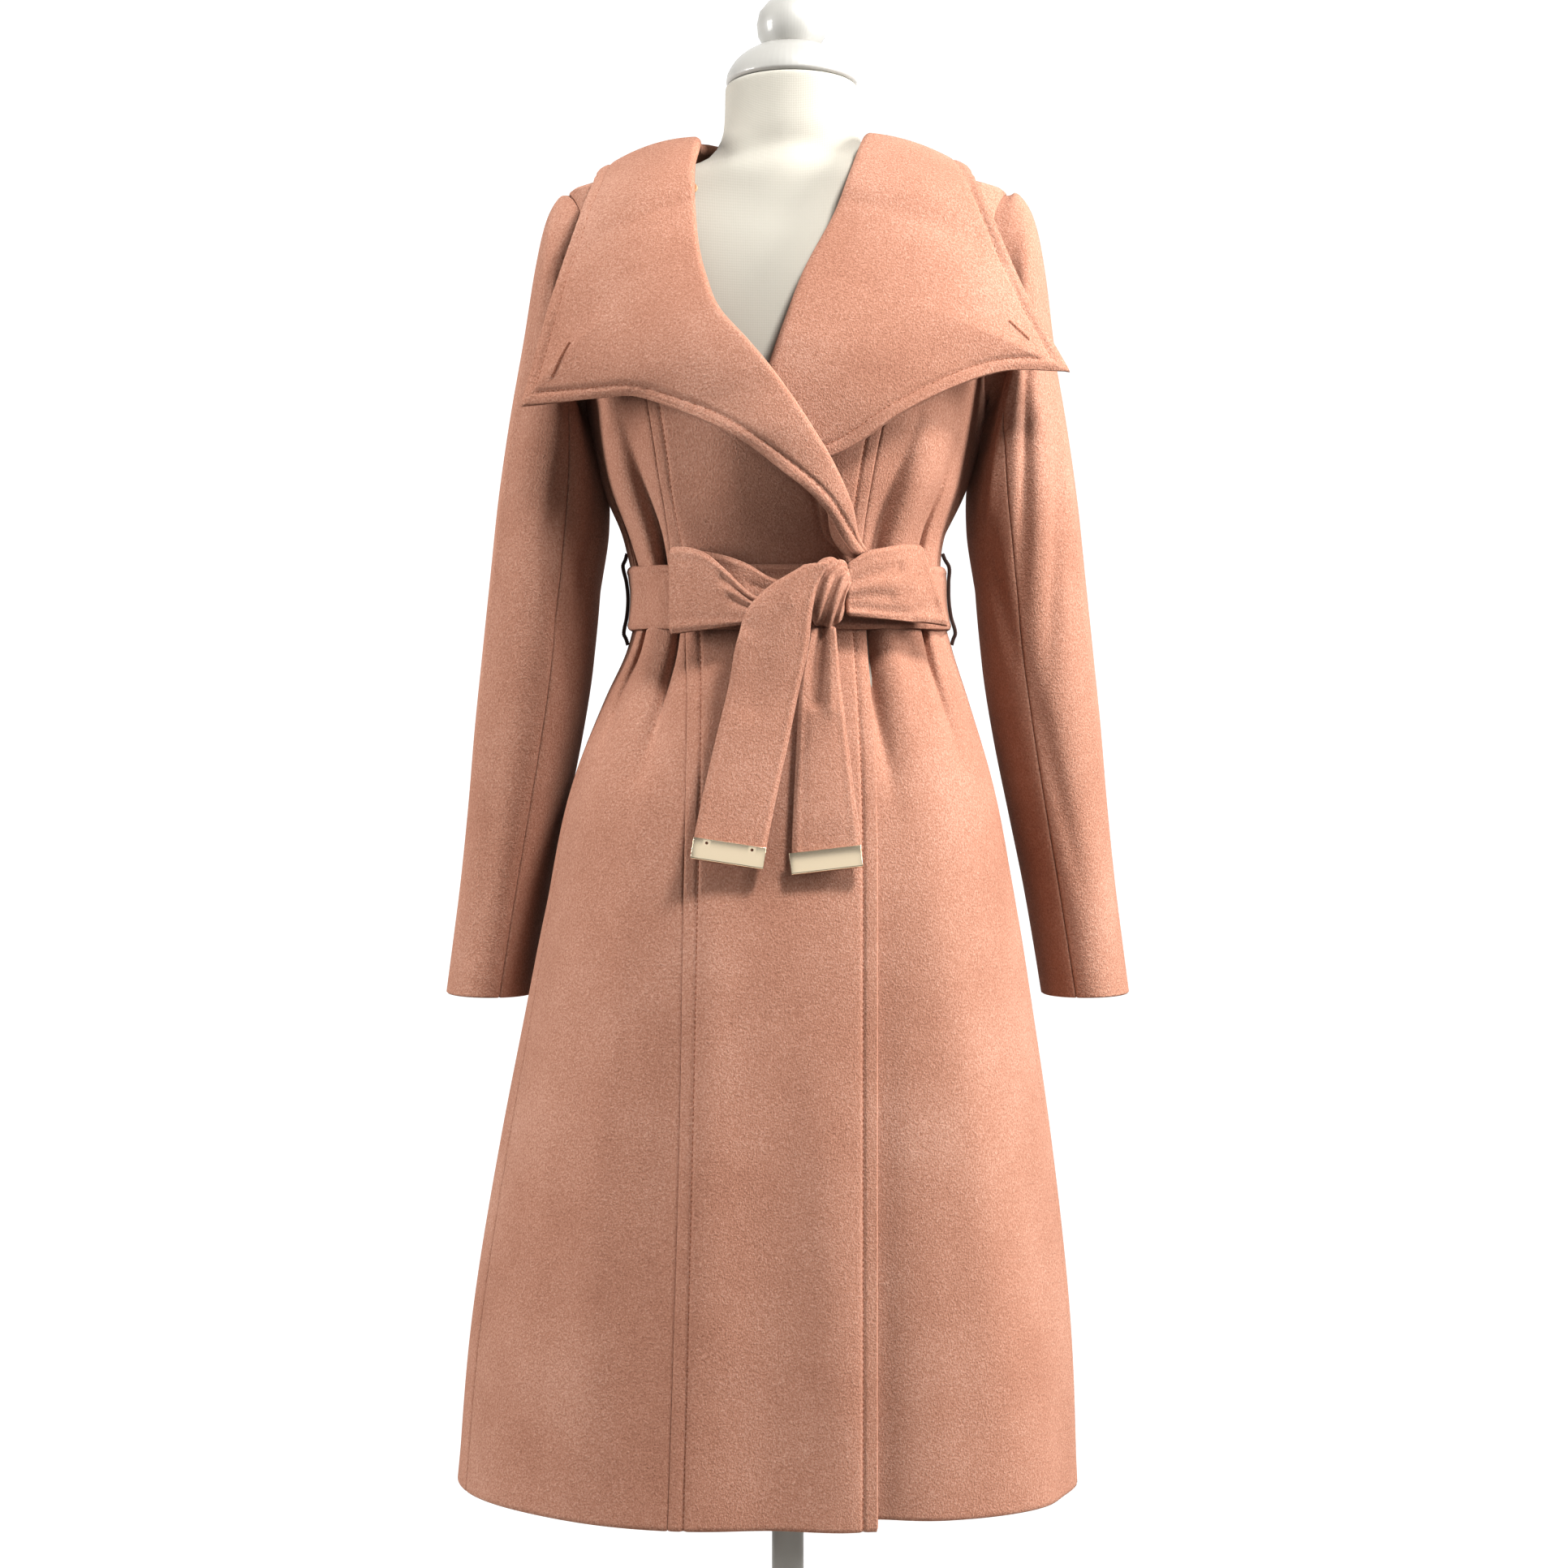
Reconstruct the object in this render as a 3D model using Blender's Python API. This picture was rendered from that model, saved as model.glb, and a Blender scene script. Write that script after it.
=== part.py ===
"""Wrap coat with a wing collar and a tied belt, on a limbless dress form.

Metres, +Z up, the coat faces -Y and the wearer's right is -X.
"""
import math

import bpy
import numpy as np

# Driving sizes
WALL = 0.0022            # melton panels
COLLAR_WALL = 0.0034     # collar, two layers of cloth
BELT_WALL = 0.0040       # belt, two layers of cloth
SEAM_GAP = 0.0003        # between two sewn pieces
ROLL = 0.0052            # outer radius of the collar's roll
BELT_GAP = 0.0010        # belt to coat
BELT_Z = 1.0105          # middle of the belt at the sides
BELT_HIGH = 0.047
BELT_DIP = 0.006         # the belt's front is lower than its sides
HEM_Z = 0.324
NECK_Z = 1.354           # neck seam
ARM_LOW, ARM_HIGH = 1.165, 1.3285
ARM_FRONT, ARM_BACK = 16.0, 17.0   # degrees the armhole is cut before and behind the side
SIDE_LEAN = 12.5                   # degrees the side seam lies before the side below the armhole
CUFF_Z = 0.698
FORM_LOW = 0.70
NECK_TOP = 1.416
BASE_R, BASE_HIGH = 0.180, 0.022
POLE_R = 0.0125

for old in list(bpy.data.objects):
    bpy.data.objects.remove(old, do_unlink=True)


def through(xs, ys, x):
    """Smooth curve through table rows, xs rising, one or more columns."""
    xs = np.asarray(xs, float)
    ys = np.asarray(ys, float)
    if ys.ndim == 1:
        return through(xs, ys[:, None], x)[..., 0]
    x = np.clip(np.asarray(x, float), xs[0], xs[-1])
    h = np.diff(xs)
    d = np.diff(ys, axis=0) / h[:, None]
    m = np.empty_like(ys)
    m[0], m[-1] = d[0], d[-1]
    w = (h[1:] / (h[1:] + h[:-1]))[:, None]
    m[1:-1] = w * d[:-1] + (1 - w) * d[1:]
    flat = d[:-1] * d[1:] <= 0
    m[1:-1][flat] = 0
    i = np.clip(np.searchsorted(xs, x, side="right") - 1, 0, len(xs) - 2)
    t = ((x - xs[i]) / h[i])[..., None]
    hi = h[i][..., None]
    return (ys[i] * (1 + 2 * t) * (1 - t) ** 2 + m[i] * hi * t * (1 - t) ** 2
            + ys[i + 1] * t * t * (3 - 2 * t) + m[i + 1] * hi * t * t * (t - 1))


def ease(a, b, x):
    t = np.clip((np.asarray(x, float) - a) / (b - a), 0, 1)
    return t * t * (3 - 2 * t)


# Body rings: height, right half, left half, front depth, back depth, squareness right, left
RINGS = np.array([
    (0.324, 0.259, 0.225, 0.164, 0.175, 2.25, 2.90),
    (0.434, 0.248, 0.220, 0.160, 0.168, 2.25, 2.70),
    (0.587, 0.223, 0.204, 0.151, 0.153, 2.25, 2.50),
    (0.683, 0.205, 0.191, 0.144, 0.143, 2.25, 2.40),
    (0.760, 0.191, 0.180, 0.138, 0.133, 2.25, 2.35),
    (0.869, 0.168, 0.160, 0.125, 0.115, 2.25, 2.30),
    (0.933, 0.143, 0.141, 0.113, 0.098, 2.25, 2.25),
    (0.971, 0.126, 0.129, 0.105, 0.086, 2.25, 2.25),
    (1.011, 0.119, 0.120, 0.101, 0.079, 2.25, 2.25),
    (1.048, 0.126, 0.121, 0.106, 0.082, 2.25, 2.25),
    (1.099, 0.142, 0.136, 0.119, 0.091, 2.30, 2.30),
    (1.138, 0.150, 0.145, 0.126, 0.098, 2.30, 2.30),
    (1.165, 0.155, 0.150, 0.126, 0.102, 2.30, 2.30),
    (1.220, 0.163, 0.160, 0.112, 0.106, 2.30, 2.30),
    (1.280, 0.172, 0.171, 0.087, 0.098, 2.30, 2.30),
    (1.3285, 0.172, 0.172, 0.061, 0.075, 2.30, 2.30),
    (1.340, 0.1324, 0.1324, 0.056, 0.070, 2.25, 2.25),
    (1.3475, 0.1066, 0.1066, 0.0525, 0.066, 2.22, 2.22),
    (1.354, 0.0841, 0.0841, 0.0495, 0.0625, 2.20, 2.20),
    (1.361, 0.0600, 0.0600, 0.0460, 0.0580, 2.10, 2.10),
])

# Folds: degrees at the low end, degrees at the high end, low, high, half width, depth (out +)
FOLDS = np.array([
    (-50.0, -56.0, 1.020, 1.160, 5.0, -0.0060),
    (-64.0, -70.0, 1.036, 1.150, 6.0, 0.0025),
    (-47.0, -48.0, 0.860, 1.004, 6.0, -0.0050),
    (33.0, 41.0, 1.018, 1.130, 5.0, -0.0050),
    (48.0, 54.0, 1.036, 1.140, 6.0, 0.0025),
    (36.0, 34.0, 0.860, 1.004, 6.0, -0.0050),
    (62.0, 60.0, 0.880, 1.002, 6.0, -0.0035),
    (148.0, 150.0, 0.840, 1.004, 8.0, -0.0050),
    (-148.0, -150.0, 0.850, 1.004, 8.0, -0.0050),
    (140.0, 136.0, 1.018, 1.130, 7.0, -0.0045),
    (-140.0, -137.0, 1.018, 1.140, 7.0, -0.0045),
    (-6.0, -3.0, 0.200, 0.720, 14.0, -0.0085),
    (-62.0, -58.0, 0.200, 0.760, 15.0, -0.0060),
    (118.0, 120.0, 0.200, 0.760, 16.0, -0.0070),
    (-122.0, -121.0, 0.200, 0.740, 16.0, -0.0070),
    (172.0, 176.0, 0.200, 0.700, 14.0, -0.0060),
])


def ring(psi, z):
    """Plain body ring: psi from the front centre, + toward +X."""
    t = through(RINGS[:, 0], RINGS[:, 1:], z)
    left = np.sin(psi) >= 0
    half = np.where(left, t[..., 1], t[..., 0])
    square = np.where(left, t[..., 5], t[..., 4])
    deep = np.where(np.cos(psi) >= 0, t[..., 2], t[..., 3])
    return ((np.abs(np.sin(psi)) / half) ** square
            + (np.abs(np.cos(psi)) / deep) ** square) ** (-1 / square)


def fold_depth(psi, z):
    out = np.zeros(np.broadcast(psi, z).shape)
    deg = np.degrees(psi)
    for a, b, lo, hi, wide, deep in FOLDS:
        t = np.clip((z - lo) / (hi - lo), 0, 1)
        mid = a + (b - a) * t
        gap = (deg - mid + 180) % 360 - 180
        rise = np.sin(math.pi * t) ** 0.8 if lo > HEM_Z else np.cos(math.pi / 2 * t) ** 1.2
        out = out + deep * np.exp(-(gap / wide) ** 2) * rise
    return out


def front_edge(z):
    """World x of the right front's edge below the collar."""
    return through([0.324, 0.726, 0.978, 1.05], [0.066, 0.066, 0.058, 0.050], z)


def surf(side, psi, z, folds=1.0):
    """Outer face of a coat panel; the right front lies over the left one."""
    psi, z = np.broadcast_arrays(np.asarray(psi, float), np.asarray(z, float))
    r = ring(psi, z)
    if folds:
        r = r + folds * fold_depth(psi, z)
    x = r * np.sin(psi)
    front = np.cos(psi) > 0
    if side == "R":
        lift = 0.0135 * np.exp(-(np.maximum(np.abs(x + 0.004) - 0.026, 0) / 0.036) ** 2)
        lift = lift * ease(1.030, 1.085, z) * (1 - ease(1.205, 1.290, z))
        r = r + np.where(front, lift, 0)
    else:
        edge = front_edge(z)
        sink = 0.0046 * (1 - ease(edge + 0.004, edge + 0.050, x)) * (1 - ease(1.25, 1.33, z))
        r = r - np.where(front, sink, 0)
    return np.stack([r * np.sin(psi), -r * np.cos(psi), z + 0 * r], axis=-1)


def face(fn, psi, z):
    """Unit outward normal of a surface of psi and z."""
    e = 2e-3
    f = 4e-4
    a = fn(psi + e, z) - fn(psi - e, z)
    b = fn(psi, z + f) - fn(psi, z - f)
    n = np.cross(a, b)
    return n / np.linalg.norm(n, axis=-1, keepdims=True)


def at_x(side, x, z):
    """Angle of the front point with this world x."""
    x, z = np.broadcast_arrays(np.asarray(x, float), np.asarray(z, float))
    t = through(RINGS[:, 0], RINGS[:, 1:], z)
    left = x >= 0
    half = np.where(left, t[..., 1], t[..., 0])
    square = np.where(left, t[..., 5], t[..., 4])
    y = t[..., 2] * np.maximum(1 - (np.abs(x) / half) ** square, 1e-6) ** (1 / square)
    return np.arctan2(x, y)


def colour(name, hexa, rough):
    mat = bpy.data.materials.new(name)
    mat.use_nodes = True
    bsdf = mat.node_tree.nodes["Principled BSDF"]
    rgb = [int(hexa[i:i + 2], 16) / 255 for i in (0, 2, 4)]
    lin = [c / 12.92 if c <= 0.04045 else ((c + 0.055) / 1.055) ** 2.4 for c in rgb]
    bsdf.inputs["Base Color"].default_value = (*lin, 1)
    bsdf.inputs["Roughness"].default_value = rough
    mat.diffuse_color = (*lin, 1)
    return mat


MATS = {
    "wool_melton": colour("wool_melton", "c08a72", 0.9),
    "linen_cover": colour("linen_cover", "efeae0", 0.85),
    "white_paint": colour("white_paint", "f4f2ee", 0.4),
    "pale_metal": colour("pale_metal", "e8dccb", 0.25),
    "brown_thread": colour("brown_thread", "5a3a2e", 0.8),
    "tan_horn": colour("tan_horn", "b98d6b", 0.5),
}


def solid(name, verts, faces, mat):
    """One closed named solid with its faces outward."""
    mesh = bpy.data.meshes.new(name)
    mesh.from_pydata([tuple(map(float, v)) for v in verts], [], faces)
    v = np.asarray(verts, float)
    vol = 0.0
    for f in faces:
        for k in range(1, len(f) - 1):
            vol += np.dot(v[f[0]], np.cross(v[f[k]], v[f[k + 1]]))
    if vol < 0:
        mesh.flip_normals()
    mesh.materials.append(MATS[mat])
    mesh.update()
    obj = bpy.data.objects.new(name, mesh)
    bpy.context.scene.collection.objects.link(obj)
    return obj


def shell(name, outer, inner, mat, wrap=False):
    """Closed wall between two grids of points; wrap joins the last column to the first."""
    nu, nv = outer.shape[:2]
    base = nu * nv
    verts = np.concatenate([outer.reshape(-1, 3), inner.reshape(-1, 3)])
    faces = []

    def quad(a, b, c, d):
        faces.append((a, b, d))
        faces.append((b, c, d))

    cols = nv if wrap else nv - 1
    for i in range(nu - 1):
        for j in range(cols):
            k = (j + 1) % nv
            a, b, c, d = i * nv + j, i * nv + k, (i + 1) * nv + k, (i + 1) * nv + j
            quad(a, b, c, d)
            faces.append((base + d, base + b, base + a))
            faces.append((base + d, base + c, base + b))
    for j in range(cols):
        k = (j + 1) % nv
        faces.extend([(k, j, base + k), (j, base + j, base + k)])
        a, b = (nu - 1) * nv + j, (nu - 1) * nv + k
        faces.extend([(a, b, base + b), (a, base + b, base + a)])
    if not wrap:
        for i in range(nu - 1):
            a, b = i * nv, (i + 1) * nv
            faces.extend([(a, b, base + b), (a, base + b, base + a)])
            a, b = i * nv + nv - 1, (i + 1) * nv + nv - 1
            faces.extend([(b, a, base + b), (a, base + a, base + b)])
    return solid(name, verts, faces, mat)


def lathe(name, rows, mat, count=24, centre=(0, 0), oval=1.0):
    """Turned solid from rows of radius and height, closed flat at both ends."""
    verts = []
    for r, z in rows:
        for k in range(count):
            a = 2 * math.pi * k / count
            verts.append((centre[0] + r * math.cos(a), centre[1] + oval * r * math.sin(a), z))
    faces = []
    for i in range(len(rows) - 1):
        for k in range(count):
            n = (k + 1) % count
            faces.append((i * count + k, i * count + n, (i + 1) * count + n, (i + 1) * count + k))
    faces.append(tuple(range(count - 1, -1, -1)))
    last = (len(rows) - 1) * count
    faces.append(tuple(range(last, last + count)))
    return solid(name, verts, faces, mat)


# Coat panels
ARM_STEPS = 8
ARM_MID, ARM_HALF = (ARM_LOW + ARM_HIGH) / 2, (ARM_HIGH - ARM_LOW) / 2
ARM_T = np.linspace(0, math.pi, ARM_STEPS + 1)
ROWS = np.concatenate([
    [0.324, 0.40, 0.48, 0.56, 0.64, 0.72, 0.79, 0.85, 0.90, 0.94, 0.968, 0.99, 1.01, 1.03, 1.04],
    [1.05, 1.075, 1.10, 1.13], ARM_MID - ARM_HALF * np.cos(ARM_T), [1.340, 1.3475, NECK_Z]])

# Distance of the fronts' inner edge from the middle, own side +: height, right, left
EDGE = np.array([
    (0.324, -0.066, -0.062), (0.726, -0.066, -0.062), (0.978, -0.058, -0.060),
    (1.030, -0.052, -0.058), (1.050, -0.034, -0.052), (1.075, -0.027, -0.036),
    (1.100, -0.014, -0.017), (1.130, 0.001, -0.009), (1.165, 0.023, -0.001),
    (1.189, 0.041, 0.007), (1.2155, 0.059, 0.016), (1.2468, 0.074, 0.028),
    (1.278, 0.083, 0.042), (1.3046, 0.087, 0.054), (1.3285, 0.087, 0.064),
    (1.340, 0.087, 0.068), (1.3475, 0.085, 0.071), (1.354, 0.079, 0.074)])

# Distance of the princess seams from the middle: height, right, left
PRINCESS = np.array([
    (0.324, 0.088, 0.060), (0.726, 0.078, 0.052), (0.978, 0.076, 0.050),
    (1.034, 0.089, 0.057), (1.126, 0.102, 0.071), (1.165, 0.108, 0.079),
    (1.220, 0.112, 0.093), (1.280, 0.116, 0.108), (1.3285, 0.116, 0.114),
    (1.340, 0.108, 0.108), (1.3475, 0.096, 0.096), (1.354, 0.082, 0.082)])

WHERE = {"R": (-1, 1), "L": (1, 2)}   # sign of the side and its column


def edge_psi(side, z):
    sign, col = WHERE[side]
    return at_x(side, sign * through(EDGE[:, 0], EDGE[:, col], z), z)


def princess_psi(side, z):
    sign, col = WHERE[side]
    return at_x(side, sign * through(PRINCESS[:, 0], PRINCESS[:, col], z), z)


def arm_psi(side, z, cut, less=0.0):
    """Side line, opened by the armhole; cut is its angle in front (-) or behind (+)."""
    u = np.clip((z - ARM_MID) / (ARM_HALF - less), -1, 1)
    inside = (z > ARM_LOW) & (z < ARM_HIGH)
    open_by = np.where(inside, np.sqrt(np.maximum(1 - u * u, 0)), 0)
    lean = math.radians(SIDE_LEAN) * (1 - ease(1.09, ARM_LOW, z))
    sign = WHERE[side][0]
    return sign * (math.pi / 2 + math.radians(cut) * open_by - lean)


def hem_lift(side, psi, z):
    """The left front's hem hangs a little higher at the overlap."""
    if side == "R":
        return z
    up = 0.008 * np.maximum(np.cos(psi), 0) ** 0.5 * np.clip((0.40 - z) / 0.076, 0, 1)
    return z + up


def panel(name, side, a, b, cols, gather=1.0):
    u = np.linspace(0, 1, cols + 1) ** gather
    gap = np.sign(b - a) * 0.00016 / ring(a, ROWS)
    a = a + gap
    b = b - gap
    psi = a[:, None] + (b - a)[:, None] * u
    z = hem_lift(side, psi, ROWS[:, None] + 0 * psi)
    fn = lambda p, h: surf(side, p, h)
    outer = fn(psi, z)
    return shell(name, outer, outer - WALL * face(fn, psi, z), "wool_melton")


CENTRE_COLS, SIDE_COLS, BACK_COLS = 5, 5, 9
BACK_GATHER = 1.25         # back columns lie closer at the side
for side, word in (("R", "right"), ("L", "left")):
    sign = WHERE[side][0]
    seam = princess_psi(side, ROWS)
    panel(f"front_{word}_centre", side, edge_psi(side, ROWS), seam, CENTRE_COLS)
    panel(f"front_{word}_side", side, seam, arm_psi(side, ROWS, -ARM_FRONT), SIDE_COLS)
    panel(f"back_{word}", side, arm_psi(side, ROWS, ARM_BACK), sign * math.pi + 0 * ROWS, BACK_COLS,
          gather=BACK_GATHER)

# Sleeves: outer x, outer z, inner x, inner z, middle y, half depth, own side +
SLEEVE = np.array([
    (0.1800, 1.3265, 0.1575, 1.1672, 0.002, 0.047),
    (0.1900, 1.3080, 0.1640, 1.1590, 0.003, 0.053),
    (0.1985, 1.2720, 0.1560, 1.1350, 0.004, 0.059),
    (0.2080, 1.2150, 0.1475, 1.1020, 0.006, 0.062),
    (0.2195, 1.1520, 0.1455, 1.0660, 0.009, 0.062),
    (0.2290, 1.0900, 0.1480, 1.0300, 0.013, 0.061),
    (0.2360, 1.0300, 0.1515, 0.9900, 0.018, 0.060),
    (0.2430, 0.9700, 0.1570, 0.9450, 0.024, 0.059),
    (0.2500, 0.9100, 0.1660, 0.8950, 0.031, 0.058),
    (0.2560, 0.8500, 0.1780, 0.8400, 0.039, 0.057),
    (0.2630, 0.7900, 0.1900, 0.7850, 0.047, 0.056),
    (0.2700, 0.7400, 0.1990, 0.7370, 0.053, 0.055),
    (0.2760, 0.6980, 0.2060, 0.6960, 0.057, 0.055),
])


def armhole_ring(side):
    """Points and normals round the armhole from the shoulder, forward, underarm, back."""
    less = SEAM_GAP
    t = np.concatenate([ARM_T[::-1], ARM_T[1:-1]])
    front = np.arange(len(t)) <= ARM_STEPS
    z = ARM_MID - (ARM_HALF - less) * np.cos(t)
    cut = np.where(front, -ARM_FRONT + 0.12, ARM_BACK - 0.12)
    psi = WHERE[side][0] * (math.pi / 2 + np.radians(cut) * np.sin(t))
    fn = lambda p, h: surf(side, p, h)
    return fn(psi, z), face(fn, psi, z)


def sleeve_grid(side):
    sign = WHERE[side][0]
    first, first_n = armhole_ring(side)
    count = len(first)
    turn = 2 * math.pi * np.arange(count) / count
    grid = [first]
    for ox, oz, ix, iz, my, deep in SLEEVE:
        mid = np.array([(ox + ix) / 2, my, (oz + iz) / 2])
        arm = np.array([(ox - ix) / 2, 0, (oz - iz) / 2])
        pts = mid + np.cos(turn)[:, None] * arm
        pts[:, 1] -= np.sin(turn) * deep
        pts[:, 0] *= sign
        grid.append(pts)
    grid = np.array(grid)
    du = np.roll(grid, -1, axis=1) - np.roll(grid, 1, axis=1)
    dv = np.gradient(grid, axis=0)
    n = sign * np.cross(dv, du)
    n /= np.linalg.norm(n, axis=-1, keepdims=True)
    out = grid - grid.mean(axis=1, keepdims=True)
    if (n * out).sum() < 0:
        n = -n
    n[0] = first_n
    return grid, grid - WALL * n


FRONT_SEAM, BACK_SEAM = 5, 11     # ring points of the sleeve seams
for side, word in (("R", "right"), ("L", "left")):
    outer, inner = sleeve_grid(side)
    count = outer.shape[1]
    upper = [k % count for k in range(BACK_SEAM, FRONT_SEAM + count + 1)]
    under = list(range(FRONT_SEAM, BACK_SEAM + 1))
    for node, pick in (("upper", upper), ("under", under)):
        o, i = outer[:, pick].copy(), inner[:, pick].copy()
        for g in (o, i):
            for end, nxt in ((0, 1), (-1, -2)):
                step = g[:, nxt] - g[:, end]
                step /= np.linalg.norm(step, axis=-1, keepdims=True)
                g[:, end] += step * SEAM_GAP / 2
        shell(f"sleeve_{word}_{node}", o, i, "wool_melton")

# Collar halves. Station: front rows are keyed by height, the neck runs on to the centre back
# Station, roll line: across (x, on the neck degrees), height, stand off the coat;
# outer edge x y z; own side +
COLLAR = {
    "R": np.array([
        (1.0400, -0.0530, 1.0400, 0.0080, -0.0490, -0.1170, 1.0360),
        (1.0500, -0.048, 1.050, 0.0075, -0.0420, -0.1220, 1.0445),
        (1.0750, -0.040, 1.074, 0.0085, -0.0240, -0.1410, 1.0700),
        (1.1000, -0.029, 1.100, 0.0090, 0.0020, -0.1500, 1.0920),
        (1.1300, -0.015, 1.128, 0.0088, 0.0360, -0.1500, 1.1170),
        (1.1650, 0.008, 1.165, 0.0082, 0.0840, -0.1340, 1.1410),
        (1.1890, 0.025, 1.187, 0.0078, 0.1220, -0.1160, 1.1530),
        (1.2155, 0.043, 1.212, 0.0074, 0.1620, -0.0980, 1.1520),
        (1.2468, 0.057, 1.243, 0.0070, 0.2010, -0.0840, 1.1510),
        (1.3046, 0.069, 1.297, 0.0064, 0.1740, -0.0800, 1.2460),
        (1.3400, 0.070, 1.333, 0.0064, 0.1510, -0.0520, 1.3220),
        (1.3540, 68.0, 1.3560, 0.0064, 0.1460, -0.0200, 1.3440),
        (1.3675, 90.0, 1.3590, 0.0070, 0.1390, 0.0040, 1.3460),
        (1.3900, 113.0, 1.3610, 0.0110, 0.1210, 0.0580, 1.3370),
        (1.4200, 146.0, 1.3610, 0.0180, 0.0780, 0.1120, 1.3040),
        (1.4540, 180.0, 1.3610, 0.0210, 0.0000, 0.1300, 1.2940),
    ]),
    "L": np.array([
        (1.1000, -0.033, 1.101, 0.0064, -0.0140, -0.1240, 1.0940),
        (1.1300, -0.026, 1.130, 0.0064, 0.0380, -0.1260, 1.1100),
        (1.1650, -0.018, 1.163, 0.0064, 0.0840, -0.1240, 1.1400),
        (1.1890, -0.010, 1.187, 0.0064, 0.1220, -0.1140, 1.1600),
        (1.2155, -0.002, 1.209, 0.0064, 0.1600, -0.1000, 1.1740),
        (1.2468, 0.010, 1.241, 0.0064, 0.2120, -0.0820, 1.1770),
        (1.3046, 0.037, 1.297, 0.0064, 0.1740, -0.0740, 1.2500),
        (1.3400, 0.048, 1.332, 0.0064, 0.1465, -0.0530, 1.3225),
        (1.3540, 60.0, 1.3570, 0.0064, 0.1395, -0.0200, 1.3465),
        (1.3717, 90.0, 1.3610, 0.0075, 0.1280, 0.0040, 1.3510),
        (1.3900, 113.0, 1.3610, 0.0110, 0.1160, 0.0580, 1.3390),
        (1.4200, 146.0, 1.3610, 0.0180, 0.0780, 0.1120, 1.3050),
        (1.4540, 180.0, 1.3610, 0.0210, 0.0000, 0.1300, 1.2940),
    ])}
POINT_S = 1.2468          # station of the wing's point
BULGE = {"R": (0.16, 0.30), "L": (0.03, 0.30)}   # arch of the fall off the roll, low and high
TURN = np.radians([-90, -30, 30, 90])
FALL = np.array([0.28, 0.52, 0.76, 1.0])


def collar_grid(side):
    sign = WHERE[side][0]
    table = COLLAR[side]
    key = table[:, 0]
    front_z = np.array([z for z in ROWS if z >= key[0] - 1e-6])
    fn = lambda p, h: surf(side, p, h)
    psi = edge_psi(side, front_z)
    shift = -sign * np.where(front_z < 1.045, 0.0011, 0.0005) / ring(psi, front_z)
    seam_p = list(psi + shift)
    seam_z = list(front_z)
    stations = list(front_z)
    top = abs(psi[-1])
    mid = abs(princess_psi(side, np.array([NECK_Z])))[0]
    ends = np.concatenate([mid + (math.pi / 2 - mid) * np.arange(SIDE_COLS) / SIDE_COLS,
                           math.pi / 2 * (1 + (np.arange(BACK_COLS + 1) / BACK_COLS) ** BACK_GATHER)])
    for a in ends:
        seam_p.append(sign * a)
        seam_z.append(NECK_Z)
        stations.append(NECK_Z + 0.1 * (a - top) / (math.pi - top))
    seam_p, seam_z, s = np.array(seam_p), np.array(seam_z), np.array(stations)
    seam = fn(seam_p, seam_z)
    up = face(fn, seam_p, seam_z)
    seam[len(front_z) - 1:, 2] += 0.0005
    neck = key > NECK_Z - 1e-6
    roll_p = np.where(neck, sign * np.radians(table[:, 1]),
                      at_x(side, sign * np.where(neck, 0, table[:, 1]), table[:, 2]))
    lean = face(fn, roll_p, table[:, 2])
    lean[neck, 2] += 1.0
    lean /= np.linalg.norm(lean, axis=1, keepdims=True)
    roll = fn(roll_p, table[:, 2]) + table[:, 3:4] * lean
    roll = through(key, roll, s)
    k = int(np.argmin(abs(key - POINT_S)))
    low = through(key[:k + 1], table[:k + 1, 4:], s)
    high = through(key[k:], table[k:, 4:], s)
    edge = np.where((s <= POINT_S + 1e-4)[:, None], low, high)
    edge[:, 0] *= sign
    roll[-1, 0] += sign * SEAM_GAP / 2
    edge[-1, 0] += sign * SEAM_GAP / 2
    seam[-1, 0] += sign * SEAM_GAP / 2
    tangent = np.gradient(roll, axis=0)
    tangent[-1, 1:] = 0
    tangent /= np.linalg.norm(tangent, axis=1, keepdims=True)
    cols_face = [seam - 0.0028 * up]
    f = edge - roll
    length = np.linalg.norm(f, axis=1, keepdims=True)
    low_b, high_b = BULGE[side]
    arch = low_b + (high_b - low_b) * ease(1.13, 1.25, s) * (1 - 0.6 * ease(1.30, 1.35, s))
    f = f / length + arch[:, None] * up
    share = np.full((len(s), 1), 0.6)
    share[-1] = 1.0
    f -= (f * tangent).sum(axis=1, keepdims=True) * tangent * share
    f /= np.linalg.norm(f, axis=1, keepdims=True)
    m = -(up - (up * f).sum(axis=1, keepdims=True) * f)
    m -= (m * tangent).sum(axis=1, keepdims=True) * tangent
    m /= np.linalg.norm(m, axis=1, keepdims=True)
    o = roll + ROLL * f
    for a in TURN:
        cols_face.append(o - ROLL * (math.cos(a) * f + math.sin(a) * m))
    start = cols_face[-1]
    reach = np.linalg.norm(edge - start, axis=1, keepdims=True)
    ctrl = start + f * reach * 0.5
    for t in FALL:
        cols_face.append((1 - t) ** 2 * start + 2 * t * (1 - t) * ctrl + t * t * edge)
    grid = np.stack(cols_face, axis=1)
    ds = np.gradient(grid, axis=0)
    dt = np.gradient(grid, axis=1)
    n = np.cross(ds, dt)
    n /= np.linalg.norm(n, axis=-1, keepdims=True)
    if (n[:, -2] * up).sum() < 0:
        n = -n
    n[-1, :, 0] = 0
    n /= np.linalg.norm(n, axis=-1, keepdims=True)
    back = grid - COLLAR_WALL * n
    back[:, 0] = seam + 0.0006 * up
    return grid, back


collars = {}
for side, word in (("R", "right"), ("L", "left")):
    collars[side] = collar_grid(side)
    shell(f"collar_{word}", collars[side][0], collars[side][1], "wool_melton")


# Belt round the waist, over the coat
BAND_COLS = 40


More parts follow.
